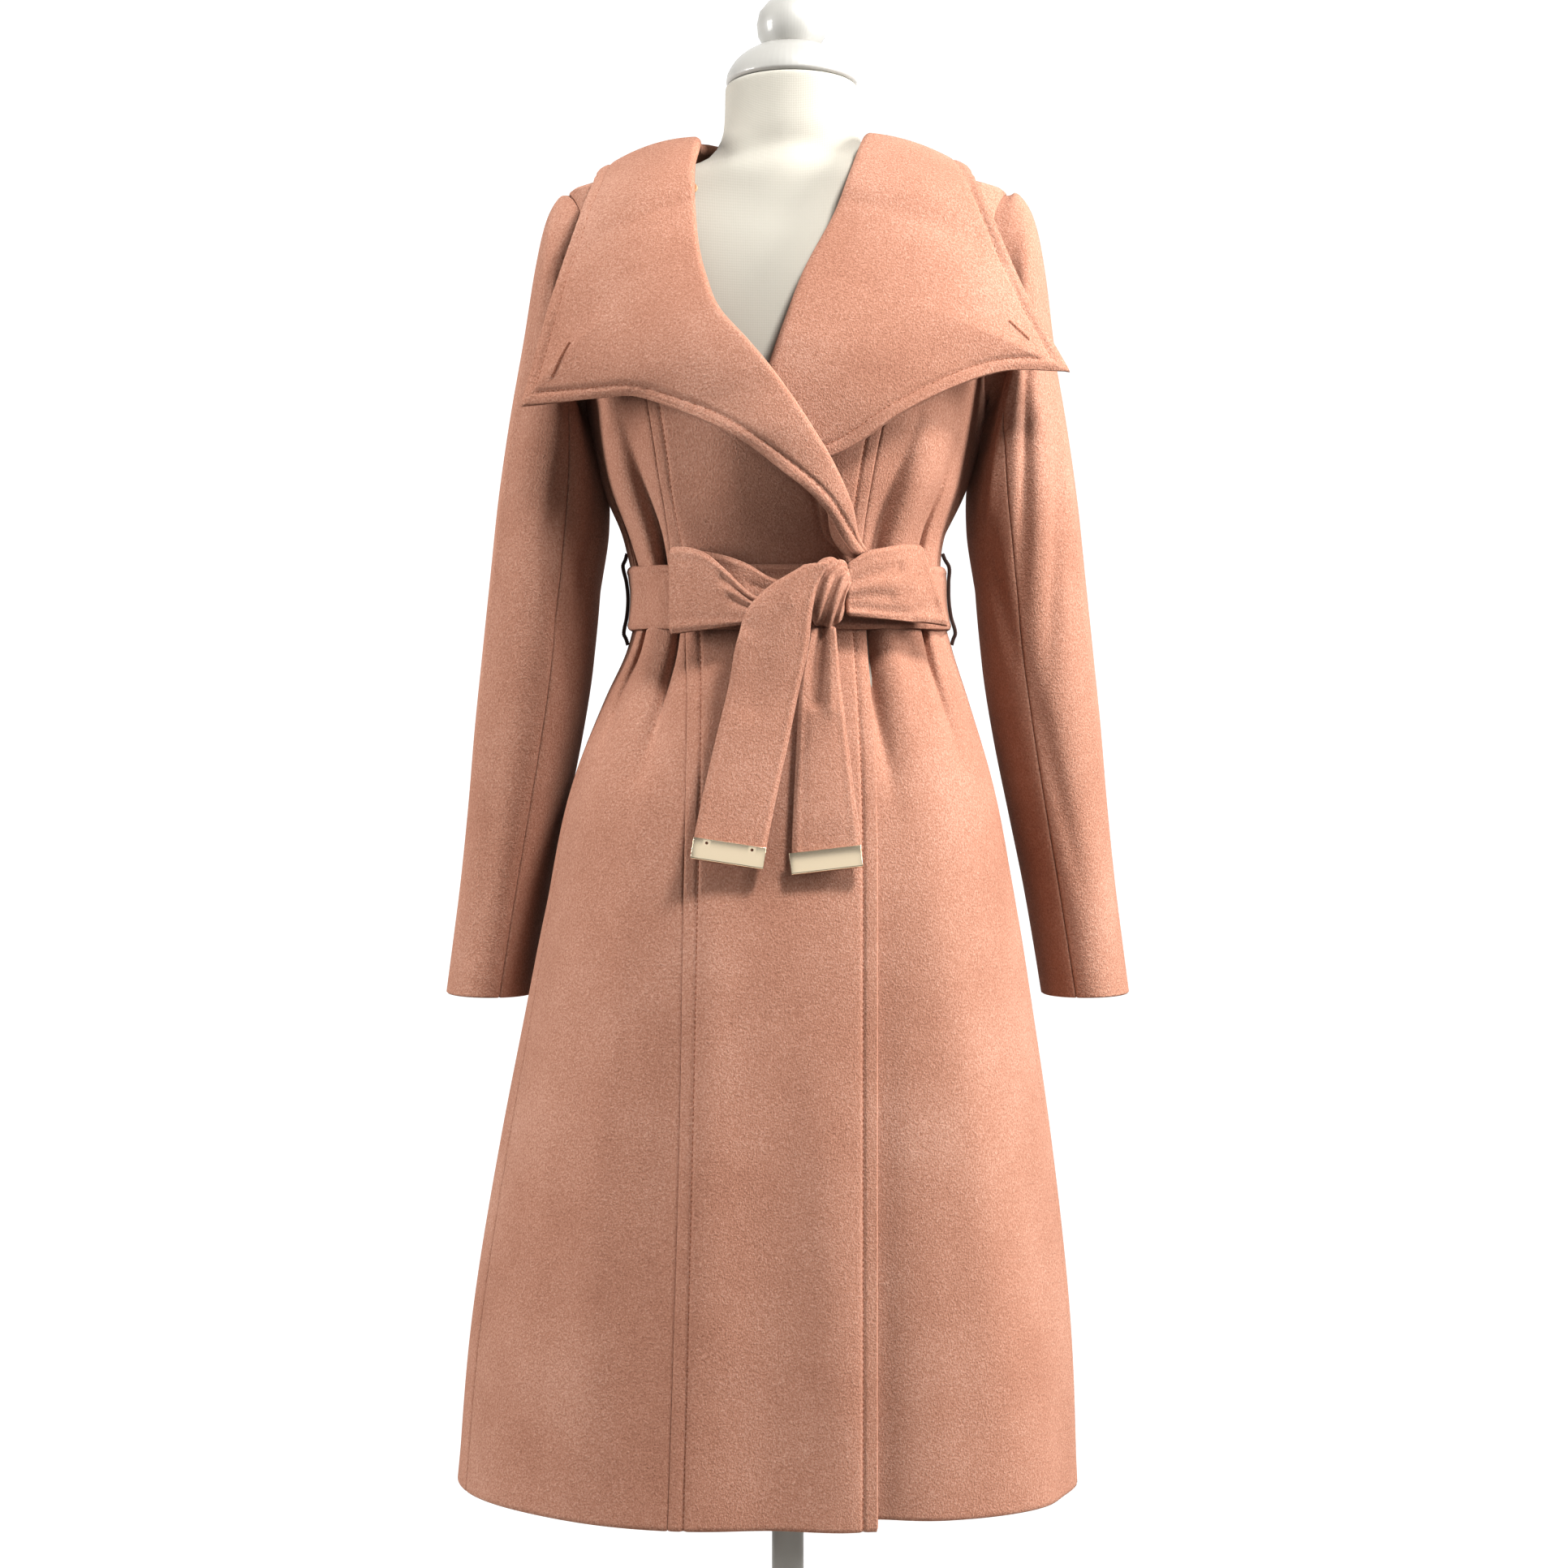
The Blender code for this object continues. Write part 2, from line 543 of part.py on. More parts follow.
def band_point(psi, z, off):
    """Point off the plain coat by a distance, without its folds."""
    fn = lambda p, h: surf("R", p, h, 0)
    return fn(psi, z) + off * face(fn, psi, z)


turn = 2 * math.pi * np.arange(BAND_COLS) / BAND_COLS
dip = -BELT_DIP * np.maximum(np.cos(turn), 0)
band_z = BELT_Z + dip + BELT_HIGH * np.array([-0.5, 0.0, 0.5])[:, None]
inner = band_point(turn + 0 * band_z, band_z, BELT_GAP)
outer = band_point(turn + 0 * band_z, band_z, BELT_GAP + BELT_WALL)
outer[..., 2] = inner[..., 2] = band_z
shell("belt_band", outer, inner, "wool_melton", wrap=True)


def strip(name, rows, mat="wool_melton", wall=BELT_WALL):
    """Strip of belt from its two edges: rows of two points, outer face."""
    grid = np.array(rows, float)
    mid = (grid[:, 0] + grid[:, 1]) / 2
    grid = np.stack([grid[:, 0], mid, grid[:, 1]], axis=1)
    ds = np.gradient(grid, axis=0)
    dt = np.gradient(grid, axis=1)
    n = np.cross(ds, dt)
    n /= np.linalg.norm(n, axis=-1, keepdims=True)
    return shell(name, grid, grid - wall * n, mat), grid, n


# Bow loops: x, y, top z, bottom z, slant of the end
LOOP_RIGHT = [
    (0.0180, -0.1095, 1.012, 0.992, 0), (-0.030, -0.1110, 1.028, 0.986, 0),
    (-0.066, -0.0990, 1.039, 0.980, 0), (-0.083, -0.0935, 1.041, 0.978, 0),
    (-0.0890, -0.0965, 1.041, 0.9775, 0), (-0.0890, -0.1020, 1.041, 0.9775, 0),
    (-0.083, -0.1065, 1.041, 0.978, 0), (-0.062, -0.1150, 1.036, 0.980, 0),
    (-0.044, -0.1205, 1.0205, 0.982, 0), (-0.028, -0.1235, 1.0045, 0.984, 0),
    (0.0180, -0.1240, 1.003, 0.990, 0)]
LOOP_LEFT = [
    (0.0453, -0.1080, 1.020, 0.990, 0), (0.074, -0.0990, 1.031, 0.987, 0.003),
    (0.098, -0.0820, 1.041, 0.984, 0.008), (0.1065, -0.0785, 1.043, 0.983, 0.010),
    (0.1115, -0.0810, 1.044, 0.983, 0.010), (0.1115, -0.0865, 1.044, 0.983, 0.010),
    (0.105, -0.0920, 1.043, 0.984, 0.009), (0.078, -0.1100, 1.034, 0.986, 0.004),
    (0.0453, -0.1220, 1.022, 0.990, 0)]
for name, table in (("bow_loop_right", LOOP_RIGHT), ("bow_loop_left", LOOP_LEFT)):
    rows = [((x - k, y, zt), (x + k, y, zb)) for x, y, zt, zb, k in table]
    if name == "bow_loop_right":
        rows = [(b, a) for a, b in rows]
    strip(name, rows)

# Knot: middle and half sizes
KNOT = np.array([0.0305, -0.1190, 1.0070])
KNOT_HALF = np.array([0.0135, 0.0145, 0.0265])
rows = []
for lat in np.radians(np.linspace(-80, 80, 9)):
    ring_pts = []
    for k in range(16):
        a = 2 * math.pi * k / 16
        twist = 0.25 * math.sin(2 * lat)
        c, s = math.cos(a + twist), math.sin(a + twist)
        swell = 1 + 0.05 * math.cos(3 * a + 2 * lat)
        p = np.array([abs(c) ** 0.85 * np.sign(c), abs(s) ** 0.85 * np.sign(s), 0])
        p = p * math.cos(lat) ** 0.7 * swell * 0.95
        p[2] = math.sin(lat)
        ring_pts.append(KNOT + KNOT_HALF * p)
    rows.append(ring_pts)
verts = np.array(rows).reshape(-1, 3)
faces = []
for i in range(8):
    for k in range(16):
        n = (k + 1) % 16
        faces.append((i * 16 + k, i * 16 + n, (i + 1) * 16 + n, (i + 1) * 16 + k))
faces.append(tuple(range(15, -1, -1)))
faces.append(tuple(range(8 * 16, 9 * 16)))
solid("belt_knot", verts, faces, "wool_melton")

# Tails: left x, right x, y, z, tilt of the row
TAIL_RIGHT = [
    (0.0107, 0.0305, -0.1352, 1.0267, 0.000), (-0.0149, 0.0215, -0.1358, 1.0100, 0.000),
    (-0.0285, 0.0178, -0.1360, 0.9946, 0.001), (-0.0369, 0.0149, -0.1350, 0.9696, 0.002),
    (-0.0434, 0.0071, -0.1340, 0.9340, 0.003), (-0.0511, 0.0002, -0.1360, 0.9010, 0.004),
    (-0.0606, -0.0088, -0.1400, 0.8600, 0.004), (-0.0680, -0.0162, -0.1450, 0.8230, 0.004),
    (-0.0705, -0.0187, -0.1465, 0.8080, 0.004)]
TAIL_LEFT = [
    (0.0160, 0.0361, -0.1210, 0.9802, 0.000), (0.0096, 0.0385, -0.1225, 0.9468, 0.000),
    (0.0072, 0.0421, -0.1280, 0.9107, -0.001), (0.0048, 0.0470, -0.1350, 0.8680, -0.002),
    (0.0030, 0.0530, -0.1420, 0.8180, -0.003), (0.0030, 0.0540, -0.1440, 0.8030, -0.003)]
TIP_HIGH = 0.0145
TIP_WALL = 0.0010
for name, table in (("right", TAIL_RIGHT), ("left", TAIL_LEFT)):
    rows = [((xl, y, z + k), (xr, y, z - k)) for xl, xr, y, z, k in table]
    obj, grid, n = strip(f"belt_tail_{name}", rows)
    # metal end: a channel with the tail's end in it
    along = grid[-1, 0] - grid[-1, 2]
    wide = np.linalg.norm(along)
    along /= wide
    down = grid[-1, 1] - grid[-2, 1]
    down /= np.linalg.norm(down)
    out = np.cross(along, down)
    out *= np.sign(np.dot(out, n[-1, 1]))
    a, b, w = SEAM_GAP, -BELT_WALL - SEAM_GAP, TIP_WALL
    low = 0.0004
    section = [(a, -TIP_HIGH), (a + w, -TIP_HIGH), (a + w, low + w), (b - w, low + w),
               (b - w, -TIP_HIGH), (b, -TIP_HIGH), (b, low), (a, low)]
    verts = []
    for end in (-1, 1):
        for u, v in section:
            verts.append(grid[-1, 1] + along * end * (wide / 2 + 0.0006) + out * u + down * v)
    m = len(section)
    faces = [(k, (k + 1) % m, m + (k + 1) % m, m + k) for k in range(m)]
    for pick in ((0, 1, 2, 7), (7, 2, 3, 6), (6, 3, 4, 5)):
        faces.append(pick[::-1])
        faces.append(tuple(m + k for k in pick))
    solid(f"belt_tip_{name}", np.array(verts), faces, "pale_metal")

# Thread carriers at the side seams: height, stand off the coat
CARRIER = [(1.0465, 0.0004), (1.0415, 0.0030), (1.0370, 0.0060), (1.0240, 0.0062),
           (1.0105, 0.0062), (0.9970, 0.0062), (0.9835, 0.0060), (0.9790, 0.0030),
           (0.9745, 0.0004)]
for side, word in (("R", "right"), ("L", "left")):
    sign = WHERE[side][0]
    rows_o, rows_i = [], []
    for z, off in CARRIER:
        x = surf(side, sign * math.pi / 2, z)[0]
        for store, more in ((rows_i, 0.0), (rows_o, 0.0014)):
            store.append([(x + sign * (off + more), y, z) for y in (-0.0016, 0.0016)])
    shell(f"carrier_{word}", np.array(rows_o), np.array(rows_i), "brown_thread")

# Small button inside the collar's roll
face_grid = collars["R"][0]
row = int(np.argmin(abs(face_grid[:20, 2, 2] - 1.318)))
spot = face_grid[row, 2] * 0.5 + face_grid[row, 1] * 0.5
along = face_grid[row, 2] - face_grid[row, 1]
along /= np.linalg.norm(along)
run = face_grid[row + 1, 2] - face_grid[row - 1, 2]
run /= np.linalg.norm(run)
axis = np.cross(along, run)
axis /= np.linalg.norm(axis)
if np.dot(axis, face_grid[row, 2] - collars["R"][1][row, 2]) < 0:
    axis = -axis
BUTTON_R, BUTTON_HIGH, BUTTON_OFF = 0.0042, 0.0022, 0.0011
side_a = np.cross(axis, run)
verts = []
for r, h in ((0.75, 0), (1.0, 0.3), (1.0, 0.75), (0.8, 1.0)):
    for k in range(16):
        a = 2 * math.pi * k / 16
        p = spot + axis * (BUTTON_OFF + BUTTON_HIGH * h)
        verts.append(p + BUTTON_R * r * (math.cos(a) * run + math.sin(a) * side_a))
faces = []
for i in range(3):
    for k in range(16):
        n = (k + 1) % 16
        faces.append((i * 16 + k, i * 16 + n, (i + 1) * 16 + n, (i + 1) * 16 + k))
faces.append(tuple(range(15, -1, -1)))
faces.append(tuple(range(48, 64)))
solid("collar_button", np.array(verts), faces, "tan_horn")

# Dress form: height and how far it lies inside the coat
FORM = np.array([
    (0.700, 0.036), (0.760, 0.027), (0.820, 0.020), (0.890, 0.016), (0.970, 0.0135),
    (1.010, 0.0130), (1.050, 0.0150), (1.100, 0.0175), (1.165, 0.0185), (1.220, 0.0145),
    (1.270, 0.0105), (1.3046, 0.0075), (1.3223, 0.0062), (1.3285, 0.0050), (1.340, 0.0032),
    (1.3475, 0.0050), (1.354, 0.0060), (1.361, 0.0060)])
NECK_R, NECK_X, NECK_Y = 0.0525, 0.003, 0.006
FORM_COLS = 28
psi = 2 * math.pi * np.arange(FORM_COLS) / FORM_COLS
rows = []


def plain(p, h):
    r = ring(p, h)
    return np.stack([r * np.sin(p), -r * np.cos(p), h + 0 * r], axis=-1)


for z in (0.70, 0.74, 0.79, 0.85, 0.91, 0.96, 1.01, 1.05, 1.10, 1.15, 1.20, 1.25, 1.285,
          1.3046, 1.3223, 1.3285, 1.340, 1.3475, 1.354, 1.360):
    turned = (psi + math.pi) % (2 * math.pi) - math.pi
    inset = float(through(FORM[:, 0], FORM[:, 1], z))
    inset = inset + ease(1.30, 1.335, z) * (
        0.0022 * np.exp(-((abs(turned) - 1.05) / 0.26) ** 2) - 0.005 * np.exp(-(turned / 0.5) ** 2))
    h = z + 0 * psi
    pts = plain(psi, h) - inset[:, None] * face(plain, psi, h)
    if z < 1.29:
        pts[:, 2] = z
    rows.append(pts)
for z, r in ((1.372, 0.0545), (1.385, 0.0530), (1.400, NECK_R), (NECK_TOP, NECK_R)):
    pts = np.stack([NECK_X + r * np.sin(psi), NECK_Y - r * np.cos(psi), z + 0 * psi], axis=-1)
    rows.append(pts)
verts = np.array(rows).reshape(-1, 3)
faces = []
for i in range(len(rows) - 1):
    for k in range(FORM_COLS):
        n = (k + 1) % FORM_COLS
        a, b, c, d = (i * FORM_COLS + k, i * FORM_COLS + n,
                      (i + 1) * FORM_COLS + n, (i + 1) * FORM_COLS + k)
        faces.append((a, b, d))
        faces.append((b, c, d))
faces.append(tuple(range(FORM_COLS - 1, -1, -1)))
last = (len(rows) - 1) * FORM_COLS
faces.append(tuple(range(last, last + FORM_COLS)))
solid("form_torso", verts, faces, "linen_cover")

# Cap, finial, pole and base: radius and height
neck_at = (NECK_X, NECK_Y)
lathe("form_cap", [(0.0500, 1.4163), (0.0518, 1.4185), (0.0510, 1.4240), (0.0455, 1.4335),
                   (0.0370, 1.4410), (0.0300, 1.4450)], "white_paint", 24, neck_at)
lathe("form_finial", [(0.0200, 1.4453), (0.0225, 1.4490), (0.0265, 1.4560), (0.0275, 1.4650),
                      (0.0255, 1.4740), (0.0190, 1.4820), (0.0090, 1.4860)],
      "white_paint", 24, neck_at)
lathe("stand_pole", [(POLE_R, BASE_HIGH + 0.0003), (POLE_R, FORM_LOW - 0.0003)], "white_paint", 20)
lathe("stand_base", [(BASE_R - 0.004, 0.0), (BASE_R, 0.004), (BASE_R, 0.012),
                     (BASE_R - 0.012, 0.019), (BASE_R - 0.030, BASE_HIGH)], "white_paint", 40)
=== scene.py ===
"""Belted wool wrap coat on an ivory dress form: the dressed model over its solids.

Metres, +Z up, the coat faces -Y, the wearer's right is -X.
"""
import math

import bpy
import mathutils
import numpy as np
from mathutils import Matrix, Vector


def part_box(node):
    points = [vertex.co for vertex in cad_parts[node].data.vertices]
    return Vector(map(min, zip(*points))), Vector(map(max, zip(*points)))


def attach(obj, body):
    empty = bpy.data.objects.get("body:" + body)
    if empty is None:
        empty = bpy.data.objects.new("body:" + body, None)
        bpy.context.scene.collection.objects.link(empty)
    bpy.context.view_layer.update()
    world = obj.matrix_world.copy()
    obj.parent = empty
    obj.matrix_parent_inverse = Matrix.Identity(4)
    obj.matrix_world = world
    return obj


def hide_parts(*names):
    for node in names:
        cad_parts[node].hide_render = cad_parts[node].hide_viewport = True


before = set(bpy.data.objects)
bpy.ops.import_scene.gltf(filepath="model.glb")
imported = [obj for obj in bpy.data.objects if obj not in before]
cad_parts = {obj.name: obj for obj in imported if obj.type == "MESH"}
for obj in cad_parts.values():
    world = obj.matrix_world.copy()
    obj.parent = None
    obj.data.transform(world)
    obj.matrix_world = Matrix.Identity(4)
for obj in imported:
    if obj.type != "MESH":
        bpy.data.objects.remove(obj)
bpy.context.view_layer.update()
bpy.ops.object.select_all(action="DESELECT")

# Sizes shared with the solids
WALL, COLLAR_WALL, BELT_WALL = 0.0022, 0.0034, 0.0040
ROLL = 0.0052
BELT_GAP, BELT_Z, BELT_HIGH, BELT_DIP = 0.0010, 1.0105, 0.047, 0.006
HEM_Z, NECK_Z = 0.324, 1.354
ARM_LOW, ARM_HIGH, ARM_FRONT, ARM_BACK = 1.165, 1.3285, 16.0, 17.0
ARM_MID, ARM_HALF = (ARM_LOW + ARM_HIGH) / 2, (ARM_HIGH - ARM_LOW) / 2
SIDE_LEAN = 12.5                        # degrees the side seam lies before the side below the armhole
WRAP_LIFT, LAP_SINK = 0.0135, 0.0046    # right front puffed over the bust, left front under the lap
WRAP_MID, WRAP_FLAT, WRAP_FADE = -0.004, 0.026, 0.036       # x of the puff, its half width, its fade
SLOT_TURN = 0.35                        # share of its place's angle at which a deep crease runs in
SEAM_DEEP, ARM_SOFT = 0.0010, 0.0006    # fall of the cloth into a seam, so much less at the armhole
CAMERA = (-0.003, -1.95, 0.865)
SIDES = (("R", "right"), ("L", "left"))


def through(xs, ys, x):
    """Smooth curve through table rows, xs rising, one or more columns."""
    xs = np.asarray(xs, float)
    ys = np.asarray(ys, float)
    if ys.ndim == 1:
        return through(xs, ys[:, None], x)[..., 0]
    x = np.clip(np.asarray(x, float), xs[0], xs[-1])
    h = np.diff(xs)
    d = np.diff(ys, axis=0) / h[:, None]
    m = np.empty_like(ys)
    m[0], m[-1] = d[0], d[-1]
    w = (h[1:] / (h[1:] + h[:-1]))[:, None]
    m[1:-1] = w * d[:-1] + (1 - w) * d[1:]
    m[1:-1][d[:-1] * d[1:] <= 0] = 0
    i = np.clip(np.searchsorted(xs, x, side="right") - 1, 0, len(xs) - 2)
    t = ((x - xs[i]) / h[i])[..., None]
    hi = h[i][..., None]
    return (ys[i] * (1 + 2 * t) * (1 - t) ** 2 + m[i] * hi * t * (1 - t) ** 2
            + ys[i + 1] * t * t * (3 - 2 * t) + m[i + 1] * hi * t * t * (t - 1))


def ease(a, b, x):
    t = np.clip((np.asarray(x, float) - a) / (b - a), 0, 1)
    return t * t * (3 - 2 * t)


def unit(v):
    return v / np.maximum(np.linalg.norm(v, axis=-1, keepdims=True), 1e-12)


def bell(x, wide, power=2):
    return np.exp(-(x / wide) ** power)


def part_along(v, way):
    """The part of each vector that lies along a unit direction."""
    return (v * way).sum(axis=-1, keepdims=True) * way


def length_along(points):
    """Length run at each point of a line."""
    return np.concatenate([[0], np.cumsum(np.linalg.norm(np.diff(points, axis=0), axis=1))])


def grid_normal(grid):
    return unit(np.cross(np.gradient(grid, axis=0), np.gradient(grid, axis=1)))


def turn_gap(deg, a, b, t):
    """Degrees from a line that turns from a to b as t goes from 0 to 1."""
    return (deg - (a + (b - a) * t) + 180) % 360 - 180


# Body rings: height, right half, left half, front depth, back depth, squareness right, left
RINGS = np.array([
    (0.324, 0.259, 0.225, 0.164, 0.175, 2.25, 2.9), (0.434, 0.248, 0.22, 0.16, 0.168, 2.25, 2.7),
    (0.587, 0.223, 0.204, 0.151, 0.153, 2.25, 2.5), (0.683, 0.205, 0.191, 0.144, 0.143, 2.25, 2.4),
    (0.76, 0.191, 0.18, 0.138, 0.133, 2.25, 2.35), (0.869, 0.168, 0.16, 0.125, 0.115, 2.25, 2.3),
    (0.933, 0.143, 0.141, 0.113, 0.098, 2.25, 2.25), (0.971, 0.126, 0.129, 0.105, 0.086, 2.25, 2.25),
    (1.011, 0.119, 0.12, 0.101, 0.079, 2.25, 2.25), (1.048, 0.126, 0.121, 0.106, 0.082, 2.25, 2.25),
    (1.099, 0.142, 0.136, 0.119, 0.091, 2.3, 2.3), (1.138, 0.15, 0.145, 0.126, 0.098, 2.3, 2.3),
    (1.165, 0.155, 0.15, 0.126, 0.102, 2.3, 2.3), (1.22, 0.163, 0.16, 0.112, 0.106, 2.3, 2.3),
    (1.28, 0.172, 0.171, 0.087, 0.098, 2.3, 2.3), (1.3285, 0.172, 0.172, 0.061, 0.075, 2.3, 2.3),
    (1.34, 0.1324, 0.1324, 0.056, 0.07, 2.25, 2.25), (1.3475, 0.1066, 0.1066, 0.0525, 0.066, 2.22, 2.22),
    (1.354, 0.0841, 0.0841, 0.0495, 0.0625, 2.2, 2.2), (1.361, 0.06, 0.06, 0.046, 0.058, 2.1, 2.1)])

# Folds: degrees at the low end, degrees at the high end, low, high, half width, depth (out +)
FOLDS = [
    (-50, -56, 1.02, 1.16, 5, -0.006), (-64, -70, 1.036, 1.15, 6, 0.0025), (-47, -48, 0.86, 1.004, 6, -0.005),
    (33, 41, 1.018, 1.13, 5, -0.005), (48, 54, 1.036, 1.14, 6, 0.0025), (36, 34, 0.86, 1.004, 6, -0.005),
    (62, 60, 0.88, 1.002, 6, -0.0035), (148, 150, 0.84, 1.004, 8, -0.005), (-148, -150, 0.85, 1.004, 8, -0.005),
    (140, 136, 1.018, 1.13, 7, -0.0045), (-140, -137, 1.018, 1.14, 7, -0.0045),
    (-6, -3, 0.2, 0.72, 14, -0.0085), (-62, -58, 0.2, 0.76, 15, -0.006), (118, 120, 0.2, 0.76, 16, -0.007),
    (-122, -121, 0.2, 0.74, 16, -0.007), (172, 176, 0.2, 0.7, 14, -0.006)]
# Finer creases of the same kind. Those at the belt are deepest beside it and start under it
BELT_TOP, BELT_FOOT = 1.014, 1.008
ABOVE_BELT = [      # no low end
    (-53.5, -60, 1.18, 2.6, -0.0125), (-59, -66, 1.15, 3.4, 0.0034), (-72, -82, 1.14, 2.8, -0.01),
    (-79, -88, 1.12, 3.2, 0.0022), (37, 46, 1.18, 2.8, -0.0068), (45, 51, 1.15, 4, 0.0036),
    (57, 64, 1.15, 2.6, -0.0105), (66, 73, 1.13, 3.4, 0.0026), (75, 84, 1.13, 2.6, -0.0056),
    (100, 103, 1.14, 3, -0.0072), (-101, -104, 1.13, 3, -0.007), (120, 116, 1.12, 2.8, -0.0066),
    (-118, -114, 1.13, 2.8, -0.0068), (160, 158, 1.13, 2.8, -0.0064), (-164, -161, 1.12, 2.8, -0.006),
]
BELOW_BELT = [      # no high end
    (-49, -47, 0.84, 2.6, -0.01), (-41, -38, 0.9, 3.4, 0.0026), (-58, -57, 0.86, 3.8, 0.003),
    (-67, -65, 0.87, 2.6, -0.0092), (-80, -78, 0.88, 3.6, -0.003), (35.5, 34, 0.83, 2.8, -0.0085),
    (42.5, 42, 0.85, 3.6, 0.0036), (51, 50, 0.9, 2.6, -0.0026), (61, 60, 0.86, 2.6, -0.0098),
    (74, 72, 0.88, 3.2, -0.0032), (104, 106, 0.85, 3, -0.0072), (-106, -108, 0.84, 3, -0.0074),
    (128, 130, 0.86, 2.8, -0.0066), (-127, -131, 0.87, 2.8, -0.0064), (166, 165, 0.86, 2.8, -0.0062),
    (-168, -166, 0.85, 2.8, -0.006),
]
SOFT_FOLDS = [
    (-44, -46, 1.016, 1.09, 2.2, -0.002), (94, 94, 1.062, 1.225, 12, 0.0088),
    (-96, -96, 1.062, 1.205, 12, 0.0064), (-20, -24, 0.42, 0.86, 7, 0.003), (14, 8, 0.34, 0.7, 6, 0.0024),
    (22, 26, 0.3, 0.86, 6, -0.004), (50, 46, 0.33, 0.8, 7, 0.0034), (68, 62, 0.31, 0.8, 6, -0.0036),
    (-36, -33, 0.33, 0.7, 6, -0.0032), (-48, -46, 0.33, 0.9, 6, 0.0036), (84, 88, 0.35, 0.8, 7, 0.0024),
    (-84, -88, 0.35, 0.78, 7, 0.0024)]
CREASES = [(a, b, BELT_TOP, high, wide, deep) for a, b, high, wide, deep in ABOVE_BELT]
CREASES += [(a, b, low, BELT_FOOT, wide, deep) for a, b, low, wide, deep in BELOW_BELT] + SOFT_FOLDS
# Creases deeper than this pinch their lips together: share of the turn, reach in half widths
PINCH_FROM, PINCH, PINCH_REACH = -0.005, 0.80, 2.1


def ring_sizes(left, z):
    """Half width, squareness, front and back depth of the body on its left or right side."""
    t = through(RINGS[:, 0], RINGS[:, 1:], z)
    half, square = np.where(left, t[..., 1], t[..., 0]), np.where(left, t[..., 5], t[..., 4])
    return half, square, t[..., 2], t[..., 3]


def ring(psi, z):
    """Plain body ring: psi from the front centre, + toward +X."""
    half, square, front, back = ring_sizes(np.sin(psi) >= 0, z)
    deep = np.where(np.cos(psi) >= 0, front, back)
    return ((np.abs(np.sin(psi)) / half) ** square
            + (np.abs(np.cos(psi)) / deep) ** square) ** (-1 / square)


def fold_depth(table, psi, z):
    """Depth of a table's folds; a deep crease's turn that pinches its lips, and its own depth."""
    out = np.zeros(np.broadcast(psi, z).shape)
    pinch, slot = np.zeros_like(out), np.zeros_like(out)
    deg = np.degrees(psi)
    for a, b, lo, hi, wide, deep in table:
        t = np.clip((z - lo) / (hi - lo), 0, 1)
        gap = turn_gap(deg, a, b, t)
        rise = np.sin(math.pi * t) ** 0.8 if lo > HEM_Z else np.cos(math.pi / 2 * t) ** 1.2
        if lo == BELT_TOP or hi == BELT_FOOT:
            far = t if lo == BELT_TOP else 1 - t
            rise = ease(0.0, 0.10, far) * (1 - far) ** 1.3 * 1.15
            if deep < PINCH_FROM:
                reach = bell(gap / wide, PINCH_REACH)
                pinch -= PINCH * np.minimum(rise, 1) * gap * reach
                slot += deep * bell(gap, wide) * rise
                continue
        out = out + deep * bell(gap, wide) * rise
    return out, np.radians(pinch), slot


def front_edge(z):
    """World x of the right front's edge below the collar."""
    return through([0.324, 0.726, 0.978, 1.05], [0.066, 0.066, 0.058, 0.050], z)


def surf(side, psi, z, folds=True, creases=True):
    """Outer face of a coat panel; the right front lies over the left one."""
    psi, z = np.broadcast_arrays(np.asarray(psi, float), np.asarray(z, float))
    r = ring(psi, z)
    turn, slot = psi, 0 * psi
    if folds:
        r = r + fold_depth(FOLDS, psi, z)[0]
    if folds and creases:
        fine, pinch, slot = fold_depth(CREASES, psi, z)
        r, turn = r + fine, psi + pinch
    x = r * np.sin(psi)
    front = np.cos(psi) > 0
    if side == "R":
        lift = WRAP_LIFT * bell(np.maximum(np.abs(x - WRAP_MID) - WRAP_FLAT, 0), WRAP_FADE)
        lift = lift * ease(1.030, 1.085, z) * (1 - ease(1.205, 1.290, z))
        r = r + np.where(front, lift, 0)
    else:
        edge = front_edge(z)
        sink = LAP_SINK * (1 - ease(edge + 0.004, edge + 0.050, x)) * (1 - ease(1.25, 1.33, z))
        r = r - np.where(front, sink, 0)
    # a deep crease runs more straight back (or forward) than toward the middle
    behind = psi - (1 - SLOT_TURN) * (psi - np.sign(psi) * math.pi)
    way = np.where(np.abs(psi) < math.pi / 2, SLOT_TURN * psi, behind)
    return np.stack([r * np.sin(turn) + slot * np.sin(way),
                     -r * np.cos(turn) - slot * np.cos(way), z + 0 * r], axis=-1)


def face(fn, psi, z):
    """Unit outward normal of a surface of psi and z."""
    e, f = 2e-3, 4e-4
    return unit(np.cross(fn(psi + e, z) - fn(psi - e, z), fn(psi, z + f) - fn(psi, z - f)))


def skin(side, psi, z):
    """Points and unit normals of a panel's outer face."""
    fn = lambda p, h: surf(side, p, h)
    return fn(psi, z), face(fn, psi, z)


def at_x(x, z):
    """Angle of the front point with this world x."""
    x, z = np.broadcast_arrays(np.asarray(x, float), np.asarray(z, float))
    half, square, front, _ = ring_sizes(x >= 0, z)
    y = front * np.maximum(1 - (np.abs(x) / half) ** square, 1e-6) ** (1 / square)
    return np.arctan2(x, y)


